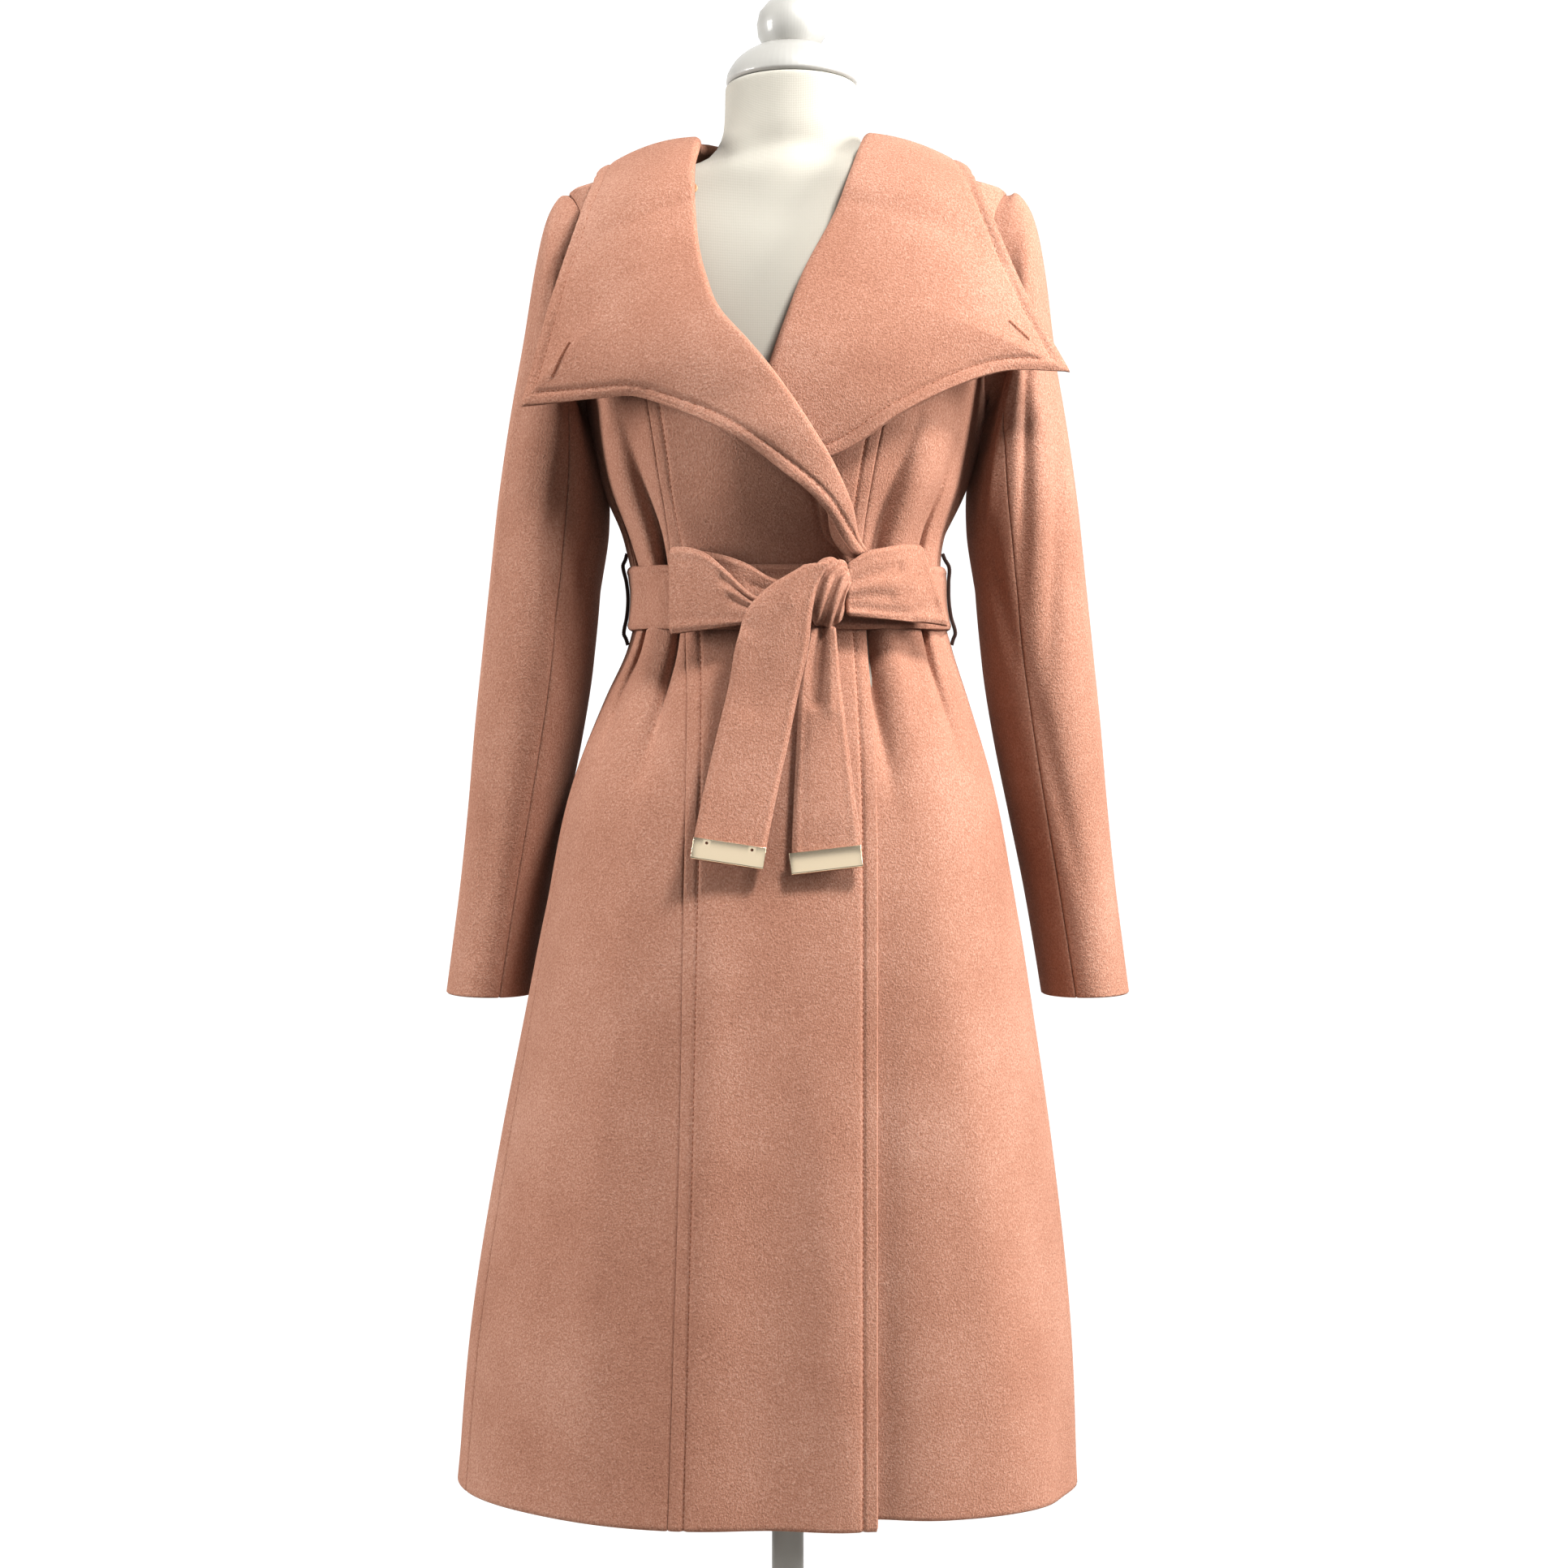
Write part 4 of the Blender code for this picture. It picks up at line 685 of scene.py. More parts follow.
def collar_grid(side):
    """Face of a collar half: seam, roll and fall; columns from the seam to the outer edge."""
    sign = WHERE[side][0]
    table = COLLAR[side]
    key = table[:, 0]
    front_z = np.concatenate([np.linspace(key[0], POINT_S, 74)[:-1], np.linspace(POINT_S, NECK_Z, 52)])
    psi = line_psi(EDGE, side, front_z)
    top = abs(psi[-1])
    back = np.linspace(top, math.pi, 96)[1:]
    seam_p = np.concatenate([psi + sign * SEAM_UNDER / ring(psi, front_z), sign * back])
    seam_z = np.concatenate([front_z, NECK_Z + 0 * back])
    s = np.concatenate([front_z, NECK_Z + 0.1 * (back - top) / (math.pi - top)])
    seam, up = skin(side, seam_p, seam_z)
    seam[len(front_z) - 1:, 2] += 0.0005
    neck = key > NECK_Z - 1e-6
    roll_p = np.where(neck, sign * np.radians(table[:, 1]),
                      at_x(sign * np.where(neck, 0, table[:, 1]), table[:, 2]))
    broad = lambda p, h: surf(side, p, h, True, False)
    lean = face(broad, roll_p, table[:, 2])
    lean[neck, 2] += 1.0
    roll = broad(roll_p, table[:, 2]) + table[:, 3:4] * unit(lean)
    roll = through(key, roll, s)
    k = int(np.argmin(abs(key - POINT_S)))
    edge = np.where((s <= POINT_S + 1e-5)[:, None], through(key[:k + 1], table[:k + 1, 4:], s),
                    through(key[k:], table[k:, 4:], s))
    edge[:, 0] *= sign
    for line in (roll, edge, seam):
        line[-1, 0] -= sign * BACK_LAP
    tangent = np.gradient(roll, axis=0)
    tangent[-1, 1:] = 0
    tangent = unit(tangent)
    low_b, high_b = BULGE[side]
    arch = low_b + (high_b - low_b) * ease(1.13, 1.25, s) * (1 - 0.6 * ease(1.30, 1.35, s))
    f = unit(edge - roll) + arch[:, None] * up
    share = 0.6 + 0.4 * ease(1.44, 1.454, s)[:, None]
    f = unit(f - part_along(f, tangent) * share)
    m = part_along(up, f) - up
    m = unit(m - part_along(m, tangent))
    o = roll + ROLL * f
    cols = [o - ROLL * (math.cos(a) * f + math.sin(a) * m) for a in TURN]
    first = seam - STAND_IN * up
    stand = [first + (cols[0] - first) * t for t in np.linspace(0, 1, 9)[:-1]]
    start = cols[-1]
    ctrl = start + f * np.linalg.norm(edge - start, axis=1, keepdims=True) * 0.5
    fall = [(1 - t) ** 2 * start + 2 * t * (1 - t) * ctrl + t * t * edge for t in FALL]
    grid = np.stack(stand + cols + fall, axis=1)
    n = grid_normal(grid)
    if (n[:, -2] * up).sum() < 0:
        n = -n
    n[-1, :, 0] = 0
    return grid, unit(n), seam, up


collars = {}
for side, word in SIDES:
    grid, n, seam, up = collars[side] = collar_grid(side)
    # distance of each point from the free outer edge, which is rolled and stitched
    gap = np.linalg.norm(grid[:, :, None, :] - grid[None, None, ::2, -1], axis=-1).min(axis=2)
    fall = np.arange(grid.shape[1]) >= FALL_FROM
    rolled = 0.0009 * bell(gap, 0.0065, 4) + groove(gap, COLLAR_STITCH, 0.0017, 0.0012)
    inner = grid - COLLAR_WALL * n
    inner[:, 0] = seam - 0.0004 * up
    cloth(f"coat_collar_{word}", grid + np.where(fall, rolled, 0)[..., None] * n, inner,
          [f"collar_{word}"],
          round_by=0.5)
    line = []
    for i in range(0, len(grid) - 1, 2):
        j = np.nonzero(fall & (gap[i] < COLLAR_STITCH))[0]
        if len(j) and j[0] > FALL_FROM:
            j = j[0]
            t = (gap[i, j - 1] - COLLAR_STITCH) / (gap[i, j - 1] - gap[i, j])
            line.append((grid[i, j - 1] * (1 - t) + grid[i, j] * t, n[i, j]))
    points, up = np.array(line).swapaxes(0, 1)
    sew(points - 0.0011 * up, up)


# Belt round the waist, over the coat
def band_point(psi, z, off):
    """Point off the plain coat by a distance, without its folds."""
    fn = lambda p, h: surf("R", p, h, False)
    return fn(psi, z) + off * face(fn, psi, z)


def soft_edges(v, wide):
    """Rounding of a doubled strip toward its two long edges; v from 0 to 1 across."""
    d = np.minimum(v, 1 - v) * wide
    return -0.0014 * bell(d, 0.0016) - 0.0005 * bell(d - 0.0062, 0.0016)


ACROSS = np.concatenate([[0, 0.008, 0.02, 0.035, 0.055, 0.08], np.linspace(0.11, 0.89, 15),
                         [0.92, 0.945, 0.965, 0.98, 0.992, 1]])
# Soft creases of the band: degrees at its low and high edge, half width, depth (out +)
BAND_CREASES = [
    (-58, -66, 5, -0.0018), (-74, -70, 6, 0.0012), (50, 58, 5, -0.0018), (66, 60, 6, 0.0012),
    (-40, -46, 4, -0.0014), (38, 42, 4, -0.0012), (120, 112, 7, -0.0016), (-118, -128, 7, -0.0016),
    (160, 168, 8, -0.0012), (-160, -154, 8, -0.0012)]
turn = 2 * math.pi * np.arange(288) / 288
dip = -BELT_DIP * np.maximum(np.cos(turn), 0)
band_z = BELT_Z + dip + BELT_HIGH * (ACROSS - 0.5)[:, None]
inner = band_point(turn + 0 * band_z, band_z, BELT_GAP)
outer = band_point(turn + 0 * band_z, band_z, BELT_GAP + BELT_WALL)
outer[..., 2] = inner[..., 2] = band_z
way = unit(outer - inner)
low = soft_edges(ACROSS, BELT_HIGH)[:, None] + 0 * band_z
for a, b, wide, deep in BAND_CREASES:
    low += deep * bell(turn_gap(np.degrees(turn), a, b, ACROSS[:, None]), wide)
cloth("belt_round_waist", outer + low[..., None] * way, inner, ["belt_band"],
      wrap=True)


def strip(name, rows, count, node, creases, bow=0.0):
    """Doubled strip of belt through rows of two points, outer face first, with its creases.

    A crease: place along (0 to 1) at its two ends, place across at its two ends, half width, depth.
    """
    rows = np.array(rows, float)
    run = length_along(rows.mean(axis=1))
    at = np.linspace(0, run[-1], count)
    ends = through(run, rows.reshape(len(rows), -1), at).reshape(count, 2, 3)
    grid = ends[:, None, 0] + (ends[:, 1] - ends[:, 0])[:, None] * ACROSS[None, :, None]
    n = grid_normal(grid)
    wide = np.linalg.norm(rows[:, 1] - rows[:, 0], axis=1).mean()
    u, v = np.linspace(0, 1, count)[:, None], ACROSS[None, :]
    low = bow * (1 - (2 * v - 1) ** 2) * (1 - ease(0.78, 0.90, u))
    for u0, u1, v0, v1, half, deep in creases:
        d = np.array([(u1 - u0) * run[-1], (v1 - v0) * wide])
        size = np.hypot(*d)
        du, dv = (u - u0) * run[-1], (v - v0) * wide
        along = np.clip((du * d[0] + dv * d[1]) / size ** 2, 0, 1)
        away = np.hypot(du - along * d[0], dv - along * d[1])
        low = low + deep * bell(away, half)
    shown = grid + low[..., None] * n
    n = grid_normal(shown)
    soft = soft_edges(ACROSS, wide)[None, :, None]
    cloth(name, shown + soft * n, shown - (BELT_WALL + soft) * n, [node])
    return shown, n


# Bow loops: x, y, top z, bottom z, slant of the end
LOOP_RIGHT = [
    (0.018, -0.1095, 1.012, 0.992, 0), (-0.014, -0.1105, 1.0185, 0.989, 0), (-0.03, -0.111, 1.028, 0.986, 0),
    (-0.066, -0.099, 1.039, 0.98, 0), (-0.083, -0.0935, 1.041, 0.978, 0), (-0.089, -0.0965, 1.0415, 0.9775, 0),
    (-0.089, -0.102, 1.0415, 0.9775, 0), (-0.083, -0.1065, 1.0415, 0.978, 0), (-0.062, -0.115, 1.036, 0.98, 0),
    (-0.044, -0.1205, 1.0205, 0.982, 0), (-0.028, -0.1235, 1.0045, 0.984, 0), (0.018, -0.124, 1.003, 0.99, 0)]
LOOP_LEFT = [
    (0.0453, -0.108, 1.026, 0.99, 0), (0.074, -0.099, 1.037, 0.988, 0.003),
    (0.098, -0.082, 1.043, 0.986, 0.008), (0.1065, -0.0785, 1.0445, 0.985, 0.01),
    (0.1115, -0.081, 1.045, 0.985, 0.01), (0.1115, -0.0865, 1.045, 0.985, 0.01),
    (0.105, -0.092, 1.045, 0.986, 0.009), (0.078, -0.1105, 1.041, 0.988, 0.004),
    (0.058, -0.119, 1.036, 0.989, 0.001), (0.0453, -0.1225, 1.028, 0.99, 0)]
rows = [((x + k, y, zb), (x - k, y, zt)) for x, y, zt, zb, k in LOOP_RIGHT]
strip("bow_loop_viewer_left", rows, 150, "bow_loop_right", [
    (0.97, 0.70, 0.92, 0.80, 0.0040, -0.0022), (0.97, 0.74, 0.62, 0.55, 0.0050, -0.0020),
    (0.98, 0.80, 0.36, 0.30, 0.0045, -0.0016), (0.98, 0.72, 0.78, 0.68, 0.0032, 0.0014),
    (0.02, 0.20, 0.70, 0.66, 0.0050, 0.0016), (0.02, 0.18, 0.40, 0.36, 0.0050, 0.0014)])
rows = [((x - k, y, zt), (x + k, y, zb)) for x, y, zt, zb, k in LOOP_LEFT]
strip("bow_loop_viewer_right", rows, 130, "bow_loop_left", [
    (0.99, 0.72, 0.42, 0.30, 0.0050, -0.0020), (0.99, 0.80, 0.66, 0.70, 0.0045, -0.0018),
    (0.99, 0.70, 0.84, 0.94, 0.0040, -0.0020), (0.99, 0.66, 0.54, 0.50, 0.0060, 0.0014),
    (0.55, 0.66, 0.80, 0.86, 0.0050, -0.0018)])

# Knot: the belt wrapped over itself; middle and half sizes
KNOT = np.array([0.0300, -0.1195, 1.0070])
KNOT_HALF = np.array([0.0140, 0.0142, 0.0262])
# Grooves between its rolls: places across (-1 to 1) at 80, 25 and -70 degrees, half width, depth
KNOT_GROOVES = [(0.80, -0.30, -0.55, 0.13, -0.0030), (1.00, 0.22, -0.12, 0.13, -0.0034),
                (1.15, 0.72, 0.30, 0.12, -0.0026), (0.25, -0.62, -0.80, 0.14, -0.0022)]
theta = 2 * math.pi * np.arange(120) / 120
q = np.linspace(-1, 1, 61)[:, None]
deg = (np.degrees(theta) + 180) % 360 - 180
push = 0 * q * deg
for a, b, c, wide, deep in KNOT_GROOVES:
    d = (q - np.interp(deg, [-180, -70, 25, 80, 180], [c, c, b, a, a])) / wide
    front = bell(deg - 5, 105.0, 6)
    push += deep * front * (bell(d, 1) - 0.42 * bell(d - 1.9, 1.2))
swell = np.cos(q * math.pi / 2 * 0.93) ** 0.55
radial = np.stack([0 * theta, -np.cos(theta), np.sin(theta)], axis=-1)
lean = 0.0040 * np.sin(theta) * np.cos(theta / 2) ** 2
outer = KNOT + radial * (KNOT_HALF * swell)[:, None] + push[..., None] * radial
outer[..., 0] += KNOT_HALF[0] * np.sin(q * math.pi / 2) + lean
inner = KNOT + (outer - KNOT) * np.array([1.0, 0.72, 0.85])
cloth("belt_knot_wrap", outer, inner, ["belt_knot"], wrap=True)

# Tails: left x, right x, y, z, tilt of the row
TAIL_RIGHT = [
    (0.0107, 0.0305, -0.1352, 1.0267, 0), (-0.0149, 0.0215, -0.1358, 1.01, 0),
    (-0.0285, 0.0178, -0.136, 0.9946, 0.001), (-0.0369, 0.0149, -0.135, 0.9696, 0.002),
    (-0.0434, 0.0071, -0.134, 0.934, 0.003), (-0.0511, 0.0002, -0.136, 0.901, 0.004),
    (-0.0606, -0.0088, -0.14, 0.86, 0.004), (-0.068, -0.0162, -0.145, 0.823, 0.004),
    (-0.0705, -0.0187, -0.1465, 0.808, 0.004)]
TAIL_LEFT = [
    (0.016, 0.0361, -0.121, 0.9802, 0), (0.0096, 0.0385, -0.1225, 0.9468, 0),
    (0.0072, 0.0421, -0.128, 0.9107, -0.001), (0.0048, 0.047, -0.135, 0.868, -0.002),
    (0.003, 0.053, -0.142, 0.818, -0.003), (0.003, 0.054, -0.144, 0.803, -0.003)]
TIP_HIGH, TIP_WALL, TIP_GAP, TIP_PAST = 0.0145, 0.0010, 0.0003, 0.0012     # past: wider than the belt
FOLD_GAP, FOLD_R = 0.0004, 0.0009
HOLE_R, HOLE_SIDE, HOLE_TOP = 0.0011, 0.0095, 0.0030     # holes of an end, from its side and top
TAIL_CREASES = {
    "right": [
        (0, 0.24, 0, 0, 0.007, -0.0036), (0.02, 0.16, 0.55, 0.62, 0.006, 0.0012),
        (0.1, 0.5, 0.3, 0.38, 0.009, -0.001)],
    "left": [
        (0, 0.3, 0.45, 0.38, 0.006, -0.0042), (0, 0.34, 0.86, 0.74, 0.006, 0.0016),
        (0.02, 0.2, 0.12, 0.06, 0.005, 0.0014)]}


def metal_end(name, node, grid, n, holes):
    """Channel of sheet metal folded over a tail's end, open at both sides."""
    along = unit(grid[-1, 0] - grid[-1, -1])
    wide = np.linalg.norm(grid[-1, 0] - grid[-1, -1])
    mid = (grid[-1, 0] + grid[-1, -1]) / 2
    down = grid[-1].mean(axis=0) - grid[-6].mean(axis=0)
    down = unit(down - part_along(down, along))
    out = np.cross(along, down)
    out *= np.sign(np.dot(out, n[-1].mean(axis=0)))
    a, b = TIP_GAP + TIP_WALL / 2, -BELT_WALL - TIP_GAP - TIP_WALL / 2      # middle of the two plates
    low, r = FOLD_GAP + TIP_WALL / 2, FOLD_R
    bend = [(r * math.cos(t), r * math.sin(t)) for t in np.linspace(0, math.pi / 2, 5)]
    line = [(a, -TIP_HIGH), (a, -TIP_HIGH / 2)] + [(a - r + c, low - r + s) for c, s in bend]
    line += [(b + r - s, low - r + c) for c, s in bend] + [(b, -TIP_HIGH / 2), (b, -TIP_HIGH)]
    bpy.ops.mesh.primitive_grid_add(x_subdivisions=8, y_subdivisions=len(line) - 1, size=1)
    obj = bpy.context.active_object
    ys = sorted({round(v.co.y, 5) for v in obj.data.vertices})
    for v in obj.data.vertices:
        u, w = line[ys.index(round(v.co.y, 5))]
        v.co = mathutils.Vector(mid + along * v.co.x * (wide + TIP_PAST) + out * u + down * w)
    plate = obj.modifiers.new("plate", "SOLIDIFY")
    plate.thickness, plate.offset = TIP_WALL, 0
    bevel(obj, 0.00022, 3, 50)
    aim = mathutils.Vector(out).to_track_quat("Z", "Y").to_matrix().to_4x4()
    for side in holes:
        spot = mid + along * side * (wide / 2 - HOLE_SIDE) + out * a - down * (TIP_HIGH - HOLE_TOP)
        drill(obj, 24, HOLE_R, 0.004, mathutils.Matrix.Translation(spot) @ aim)
    hand_over(obj, name, METAL, node, 35)


# Pale gold plate on brass
METAL, _ = material("pale_gold_metal", Base_Color=linear("f0dfc4"), Metallic=1.0, Roughness=0.24)
for word, table, holes in (("right", TAIL_RIGHT, (-1, 1)), ("left", TAIL_LEFT, ())):
    rows = [((xl, y, z + k), (xr, y, z - k)) for xl, xr, y, z, k in table]
    grid, n = strip(f"belt_hanging_{word}", rows, 150, f"belt_tail_{word}", TAIL_CREASES[word],
                    bow=0.0010)
    metal_end(f"belt_end_{word}", f"belt_tip_{word}", grid, n, holes)

# Dress form: height and how far it lies inside the coat
FORM = np.array([
    (0.7, 0.036), (0.76, 0.027), (0.82, 0.02), (0.89, 0.016), (0.97, 0.0135), (1.01, 0.013), (1.05, 0.015),
    (1.1, 0.0175), (1.165, 0.0185), (1.22, 0.0145), (1.27, 0.0105), (1.3046, 0.0075), (1.3223, 0.0062),
    (1.3285, 0.005), (1.34, 0.0032), (1.3475, 0.005), (1.354, 0.006), (1.361, 0.006)])
NECK_R, NECK_X, NECK_Y, NECK_TOP = 0.0525, 0.003, 0.006, 1.416
FORM_Z = [0.70, 0.74, 0.79, 0.85, 0.91, 0.96, 1.01, 1.05, 1.10, 1.15, 1.20, 1.25, 1.285,
          1.3046, 1.3223, 1.3285, 1.340, 1.3475, 1.354, 1.360]


def form_rings(psi):
    """Rings of the form's cover, from its foot to the top of the neck."""
    def plain(p, h):
        r = ring(p, h)
        return np.stack([r * np.sin(p), -r * np.cos(p), h + 0 * r], axis=-1)
    rows = []
    for z in FORM_Z:
        turned = (psi + math.pi) % (2 * math.pi) - math.pi
        inset = float(through(FORM[:, 0], FORM[:, 1], z)) + ease(1.30, 1.335, z) * (
            0.0022 * bell(abs(turned) - 1.05, 0.26) - 0.005 * bell(turned, 0.5))
        h = z + 0 * psi
        pts = plain(psi, h) - inset[:, None] * face(plain, psi, h)
        if z < 1.29:
            pts[:, 2] = z
        rows.append(pts)
    for z, r in ((1.372, 0.0545), (1.385, 0.0530), (1.400, NECK_R), (NECK_TOP, NECK_R)):
        rows.append(np.stack([NECK_X + r * np.sin(psi), NECK_Y - r * np.cos(psi), z + 0 * psi], axis=-1))
    return np.array(rows)


# Linen cover: plain weave of about 0.8 mm threads
LINEN, bsdf = material("linen_cover", Base_Color=linear("aca89e"), Roughness=0.9, Sheen_Weight=0.1)
co = node(LINEN, "ShaderNodeTexCoord")
threads = [node(LINEN, "ShaderNodeTexWave", [(co, "Object", "Vector")], Scale=330.0, Distortion=1.2,
                Detail=1.0, Detail_Scale=2.0, bands_direction=way) for way in "XZ"]
both = node(LINEN, "ShaderNodeMath", [(threads[0], "Fac", 0), (threads[1], "Fac", 1)], operation="ADD")
weave = node(LINEN, "ShaderNodeBump", [(both, "Value", "Height")], Strength=0.25, Distance=0.0004)
link(LINEN, weave, "Normal", bsdf, "Normal")
# White paint on turned wood
PAINT, _ = material("white_paint", Base_Color=linear("a5a39e"), Roughness=0.45, Coat_Weight=0.2)


def ringed(sides, count, walls_only=False):
    """Cylinder cut into levels; returns it and its vertices level by level, from the foot."""
    bpy.ops.mesh.primitive_cylinder_add(vertices=sides, radius=1.0, depth=2.0)
    obj = bpy.context.active_object
    mode("EDIT")
    bpy.ops.mesh.select_mode(type="EDGE")
    if walls_only:
        bpy.ops.mesh.select_all(action="DESELECT")
        mode("OBJECT")
        for e in obj.data.edges:
            ends = [obj.data.vertices[k].co.z for k in e.vertices]
            e.select = abs(ends[0] - ends[1]) > 1
        mode("EDIT")
    bpy.ops.mesh.subdivide(number_cuts=count - 2)
    mode("OBJECT")
    levels = sorted({round(v.co.z, 4) for v in obj.data.vertices})
    rows = [[] for _ in levels]
    for v in obj.data.vertices:
        rows[levels.index(round(v.co.z, 4))].append(v)
    return obj, rows


form, levels = ringed(96, len(FORM_Z) + 4, walls_only=True)
for k, verts in enumerate(levels):
    psi = np.array([math.atan2(v.co.x, -v.co.y) for v in verts])
    for v, p in zip(verts, form_rings(psi)[k]):
        v.co = mathutils.Vector(p)
bevel(form, 0.004, 4, 60)
form.modifiers.new("smooth", "SUBSURF").levels = 1
hand_over(form, "form_cover", LINEN, "form_torso", 60)


def turned(name, node, rows, centre=(0.0, 0.0), sides=64):
    """Turned piece of the stand: a cylinder cut into rings, moved to its radii, edges eased."""
    obj, levels = ringed(sides, len(rows))
    for (r, z), verts in zip(rows, levels):
        for v in verts:
            v.co = (centre[0] + v.co.x * r, centre[1] + v.co.y * r, z)
    bevel(obj, 0.0010, 3, 35)
    hand_over(obj, name, PAINT, node)


neck = (NECK_X, NECK_Y)
turned("form_cap_turned", "form_cap", [
    (0.0500, 1.4163), (0.0518, 1.4185), (0.0510, 1.4240), (0.0485, 1.4290), (0.0455, 1.4335),
    (0.0415, 1.4376), (0.0370, 1.4410), (0.0300, 1.4450)], neck)
turned("form_finial_turned", "form_finial", [
    (0.0200, 1.4453), (0.0225, 1.4490), (0.0265, 1.4560), (0.0275, 1.4650), (0.0255, 1.4740),
    (0.0190, 1.4820), (0.0090, 1.4860)], neck)
turned("stand_pole_painted", "stand_pole", [(0.0125, 0.0223), (0.0125, 0.30), (0.0125, 0.6997)])
turned("stand_base_turned", "stand_base", [
    (0.176, 0.0), (0.180, 0.004), (0.180, 0.012), (0.168, 0.019), (0.150, 0.022)], sides=128)


def nearest(grid, p):
    """Row and column of the grid's point nearest to p."""
    return np.unravel_index(np.argmin(np.linalg.norm(grid - p, axis=-1)), grid.shape[:2])


def on_collar(side, x, z):
    """Collar point and normal seen in the front view at x and z of the plane y = 0."""
    grid, n = collars[side][:2]
    k = CAMERA[1] / (CAMERA[1] - grid[..., 1])
    seen = np.stack([grid[..., 0] * k, CAMERA[2] + (grid[..., 2] - CAMERA[2]) * k], axis=-1)
    seen[:, :FALL_FROM] = 1e9
    i, j = nearest(seen, (x, z))
    return grid[i, j], n[i, j]


def snap(side, p):
    """Move a point along the collar's normal onto its face."""
    grid, n = collars[side][:2]
    i, j = nearest(grid, p)
    return p + n[i, j] * np.dot(grid[i, j] - p, n[i, j])


# Buttonholes near the collar's points: their two ends in the front view
HOLES = {"R": ((-0.17088, 1.21188), (-0.1856, 1.185)), "L": ((0.17344, 1.2298), (0.19008, 1.21444))}
PROUD = 0.0003      # thread over the cloth
for side, (start, end) in HOLES.items():
    (a, na), (b, nb) = on_collar(side, *start), on_collar(side, *end)
    up = unit(na + nb)
    across = unit(np.cross(unit(b - a), up))
    both_up = np.array([up, up])
    line = np.array([snap(side, a + (b - a) * t) for t in np.linspace(0, 1, 9)])
    sew(line + PROUD * up, up + 0 * line, 0.0024, 0.0020, 0.00040, 0.0)
    for t in np.arange(0.02, 1.0, 0.0011 / np.linalg.norm(b - a)):
        c = snap(side, a + (b - a) * t) + PROUD * up
        for way in (-1, 1):
            line = np.array([c + way * across * 0.0002, c + way * across * 0.0014])
            sew(line, both_up, 0.0011, 0.0012, 0.00028, 0.0)
    for end in (a, b):
        line = end + PROUD * up + np.array([[-0.0015], [0.0015]]) * across
        sew(line, both_up, 0.0028, 0.0026, 0.00035, 0.0)

# stitches and buttonholes in thread painted darker as the shade of their dimples
build("topstitching", stitch_v, stitch_f, SHADED_THREAD)

# Thread carriers at the sides, a twisted chain of thread: height, stand off the coat
CARRIER = np.array([
    (1.0465, 0.0004), (1.0415, 0.003), (1.037, 0.006), (1.024, 0.0062), (1.0105, 0.0062), (0.997, 0.0062),
    (0.9835, 0.006), (0.979, 0.003), (0.9745, 0.0004)])
STRAND_R, TWIST_R, TWIST = 0.00082, 0.00085, 0.0042     # strand, its way round the middle, length of a turn
# Sewing thread of three strands, painted near-black brown as the shade in the gap at the coat's sides
SHADED_CARRIER_THREAD, _ = material("brown_thread", Base_Color=linear("4a2f25"), Roughness=0.8, Sheen_Weight=0.2)
for side, word in SIDES:
    sign = WHERE[side][0]
    path = np.array([(surf(side, sign * math.pi / 2, z)[0] + sign * (off + 0.0007), 0.0, z)
                     for z, off in CARRIER])
    run = length_along(path)
    at = np.linspace(0, run[-1], 130)
    line = through(run, path, at)
    go = unit(np.gradient(line, axis=0))
    wide = np.array([0.0, 1.0, 0.0]) + 0 * go
    up = np.cross(go, wide)
    verts, faces = [], []
    for strand in range(3):
        turn = (at / TWIST * 2 * math.pi + strand * 2 * math.pi / 3)[:, None]
        tube(faces, len(verts), len(at), 8)
        for c, w, u in zip(line + TWIST_R * (np.cos(turn) * wide + np.sin(turn) * up), wide, up):
            verts += [c + STRAND_R * (math.cos(t) * w + math.sin(t) * u) for t in np.arange(8) * math.pi / 4]
    # carrier thread painted dark as the shade it hangs in
    build(f"thread_carrier_{word}", verts, faces, SHADED_CARRIER_THREAD, [f"carrier_{word}"])

# Small horn button inside the collar's roll, with a rim and four holes
HORN, bsdf = material("tan_horn", Roughness=0.35, Coat_Weight=0.3)
co = node(HORN, "ShaderNodeTexCoord")
streak = node(HORN, "ShaderNodeTexNoise", [(co, "Object", "Vector")], Scale=420.0, Detail=2.0,
              Distortion=2.0)
tint = ramp(HORN, streak, "Fac", [(0.3, "9c7150"), (0.7, "c9a07c")])
link(HORN, tint, "Color", bsdf, "Base Color")
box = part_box("collar_button")
spot = np.array((box[0] + box[1]) / 2)
BUTTON_R, BUTTON_HIGH, THREAD_AT, THREAD_R = 0.0042, 0.0022, 0.0009, 0.00045
bpy.ops.mesh.primitive_cylinder_add(vertices=48, radius=BUTTON_R, depth=BUTTON_HIGH)
button = bpy.context.active_object
mode("EDIT")
bpy.ops.mesh.select_mode(type="FACE")
bpy.ops.mesh.select_all(action="DESELECT")
mode("OBJECT")
max(button.data.polygons, key=lambda p: p.center.z).select = True
mode("EDIT")
bpy.ops.mesh.inset(thickness=0.0008)
bpy.ops.mesh.inset(thickness=0.0004, depth=-0.0006)
mode("OBJECT")
bevel(button, 0.0003, 3, 40)
for x in (-THREAD_AT, THREAD_AT):
    for y in (-THREAD_AT, THREAD_AT):
        drill(button, 16, THREAD_R, 0.006, mathutils.Matrix.Translation((x, y, 0)))
button.location = spot
out = collars["R"][1][nearest(collars["R"][0], spot)]
button.rotation_euler = mathutils.Vector(out).to_track_quat("Z", "Y").to_euler()
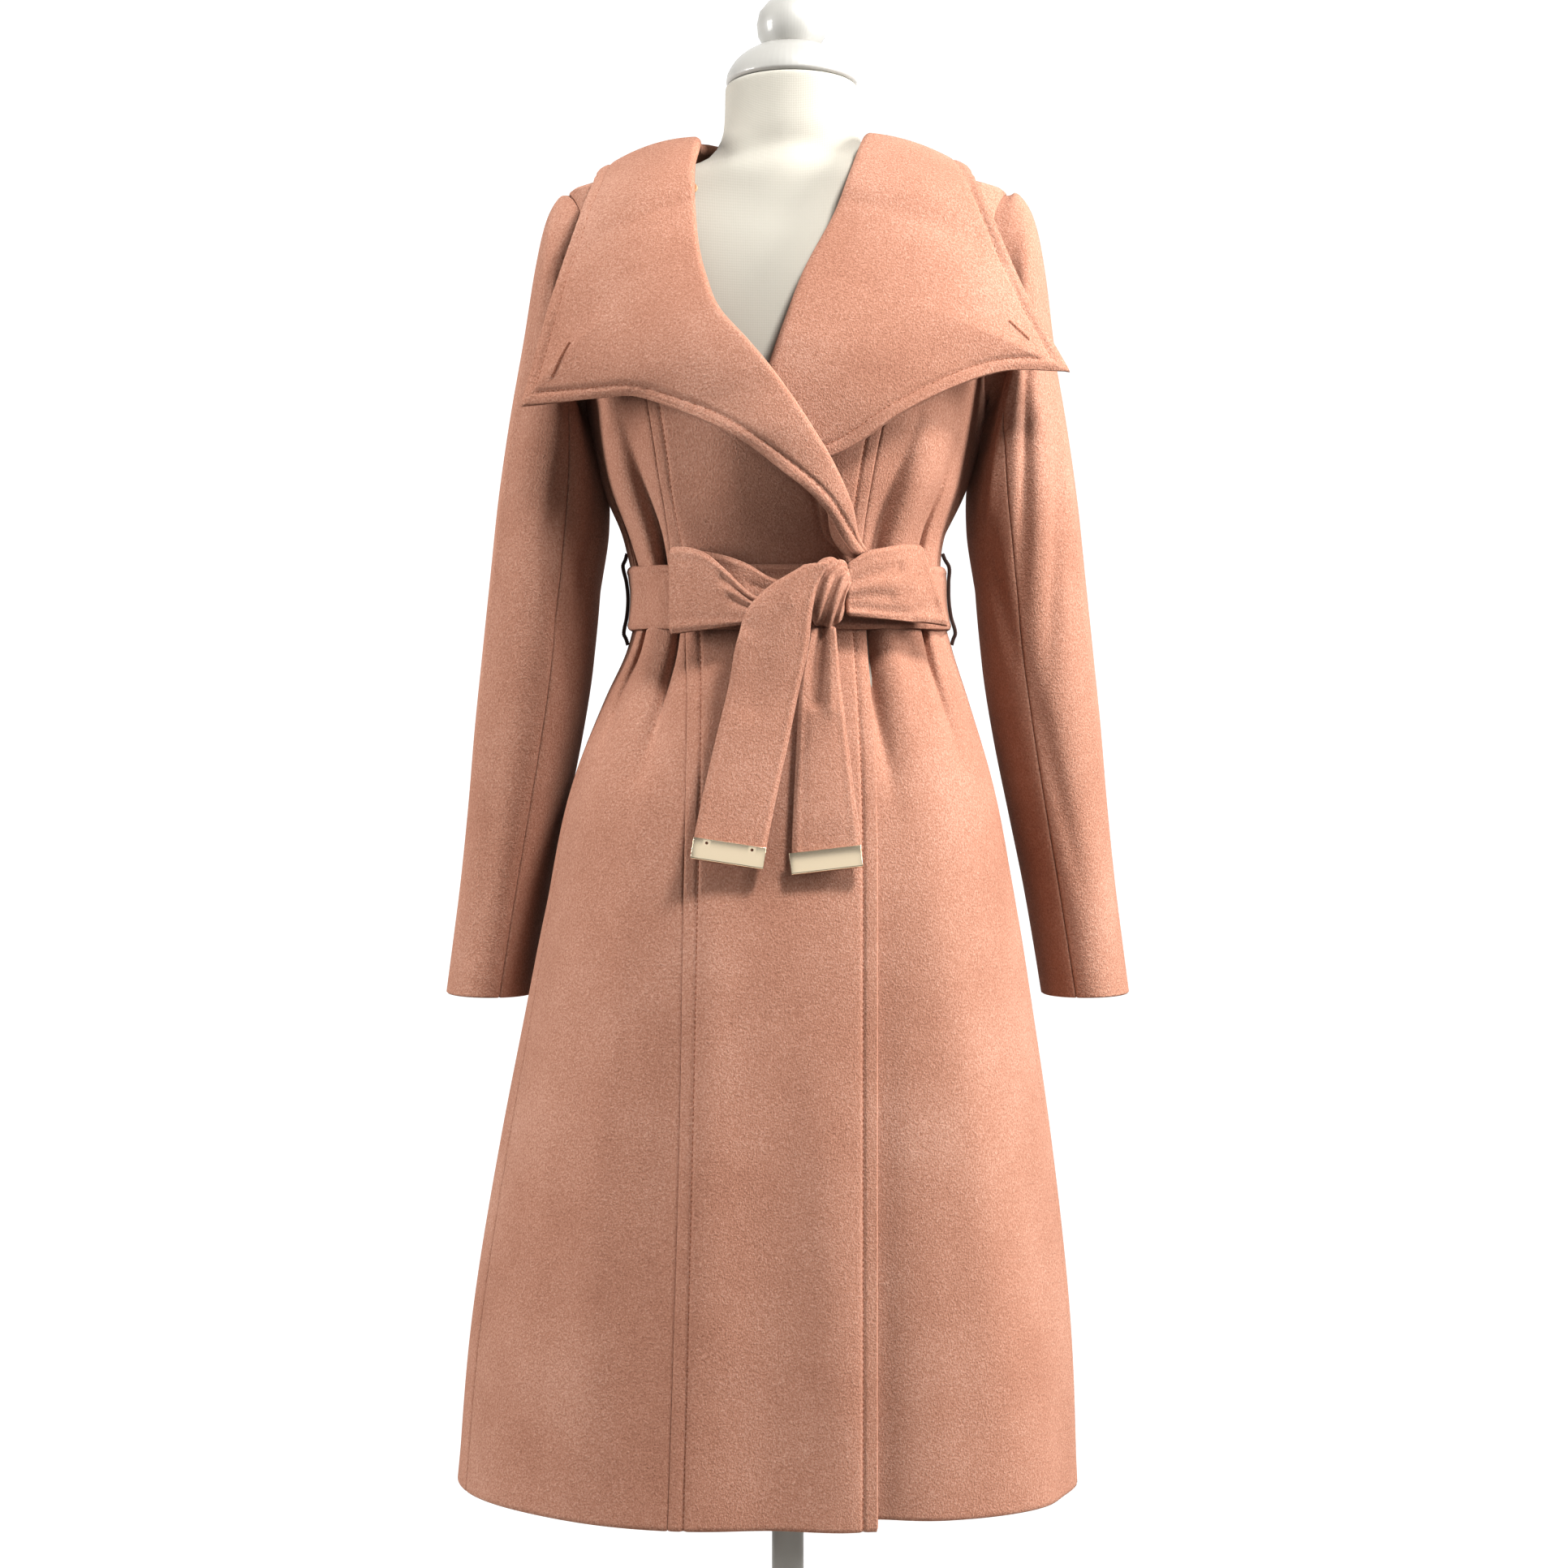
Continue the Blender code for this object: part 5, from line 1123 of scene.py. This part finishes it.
hand_over(button, "horn_button", HORN, "collar_button")

# Studio: a floor of pale matt paper, a surround brighter behind, soft lights
PALE, _ = material("studio_paper", Base_Color=linear("b4b2ae"), Roughness=0.9)
bpy.ops.mesh.primitive_circle_add(vertices=128, radius=0.74, fill_type="NGON", location=(0, 0, -0.0005))
floor = bpy.context.active_object
floor.name = "studio_floor"
floor.data.materials.append(PALE)

world = bpy.data.worlds.new("studio")
world.use_nodes = True
sky = node(world, "ShaderNodeTexCoord")
split = node(world, "ShaderNodeSeparateXYZ", [(sky, "Generated", "Vector")])
depth = node(world, "ShaderNodeMapRange", [(split, "Y", "Value")], interpolation_type="SMOOTHERSTEP",
             From_Min=0.10, From_Max=0.90, To_Min=0.17, To_Max=1.10)
background = world.node_tree.nodes["Background"]
background.inputs["Color"].default_value = (1, 1, 1, 1)
link(world, depth, "Result", background, "Strength")
bpy.context.scene.world = world


def lamp(name, place, aim, power, size):
    data = bpy.data.lights.new(name, "AREA")
    data.energy, data.shape, data.size, data.size_y = power, "RECTANGLE", size[0], size[1]
    obj = bpy.data.objects.new(name, data)
    obj.location = place
    way = mathutils.Vector(aim) - mathutils.Vector(place)
    obj.rotation_euler = way.to_track_quat("-Z", "Y").to_euler()
    bpy.context.scene.collection.objects.link(obj)


lamp("right_light", (2.3, -0.60, 1.6), (0, 0, 0.8), 110, (0.7, 1.2))
lamp("left_light", (-2.3, -0.45, 1.4), (0, 0, 0.8), 78, (0.7, 1.2))
lamp("top_light", (1.05, -1.45, 3.0), (0, 0, 0.8), 118, (0.5, 0.5))
lamp("front_light", (0.1, -3.0, 0.95), (0, 0, 0.9), 9, (1.8, 1.8))

cam = bpy.data.cameras.new("camera")
cam.sensor_width, cam.lens = 36.0, 56.8
camera = bpy.data.objects.new("camera", cam)
camera.location = CAMERA
camera.rotation_euler = (math.pi / 2, 0, 0)
bpy.context.scene.collection.objects.link(camera)
bpy.context.scene.camera = camera
bpy.context.scene.view_settings.view_transform = "Standard"
bpy.context.scene.view_settings.gamma = 0.84
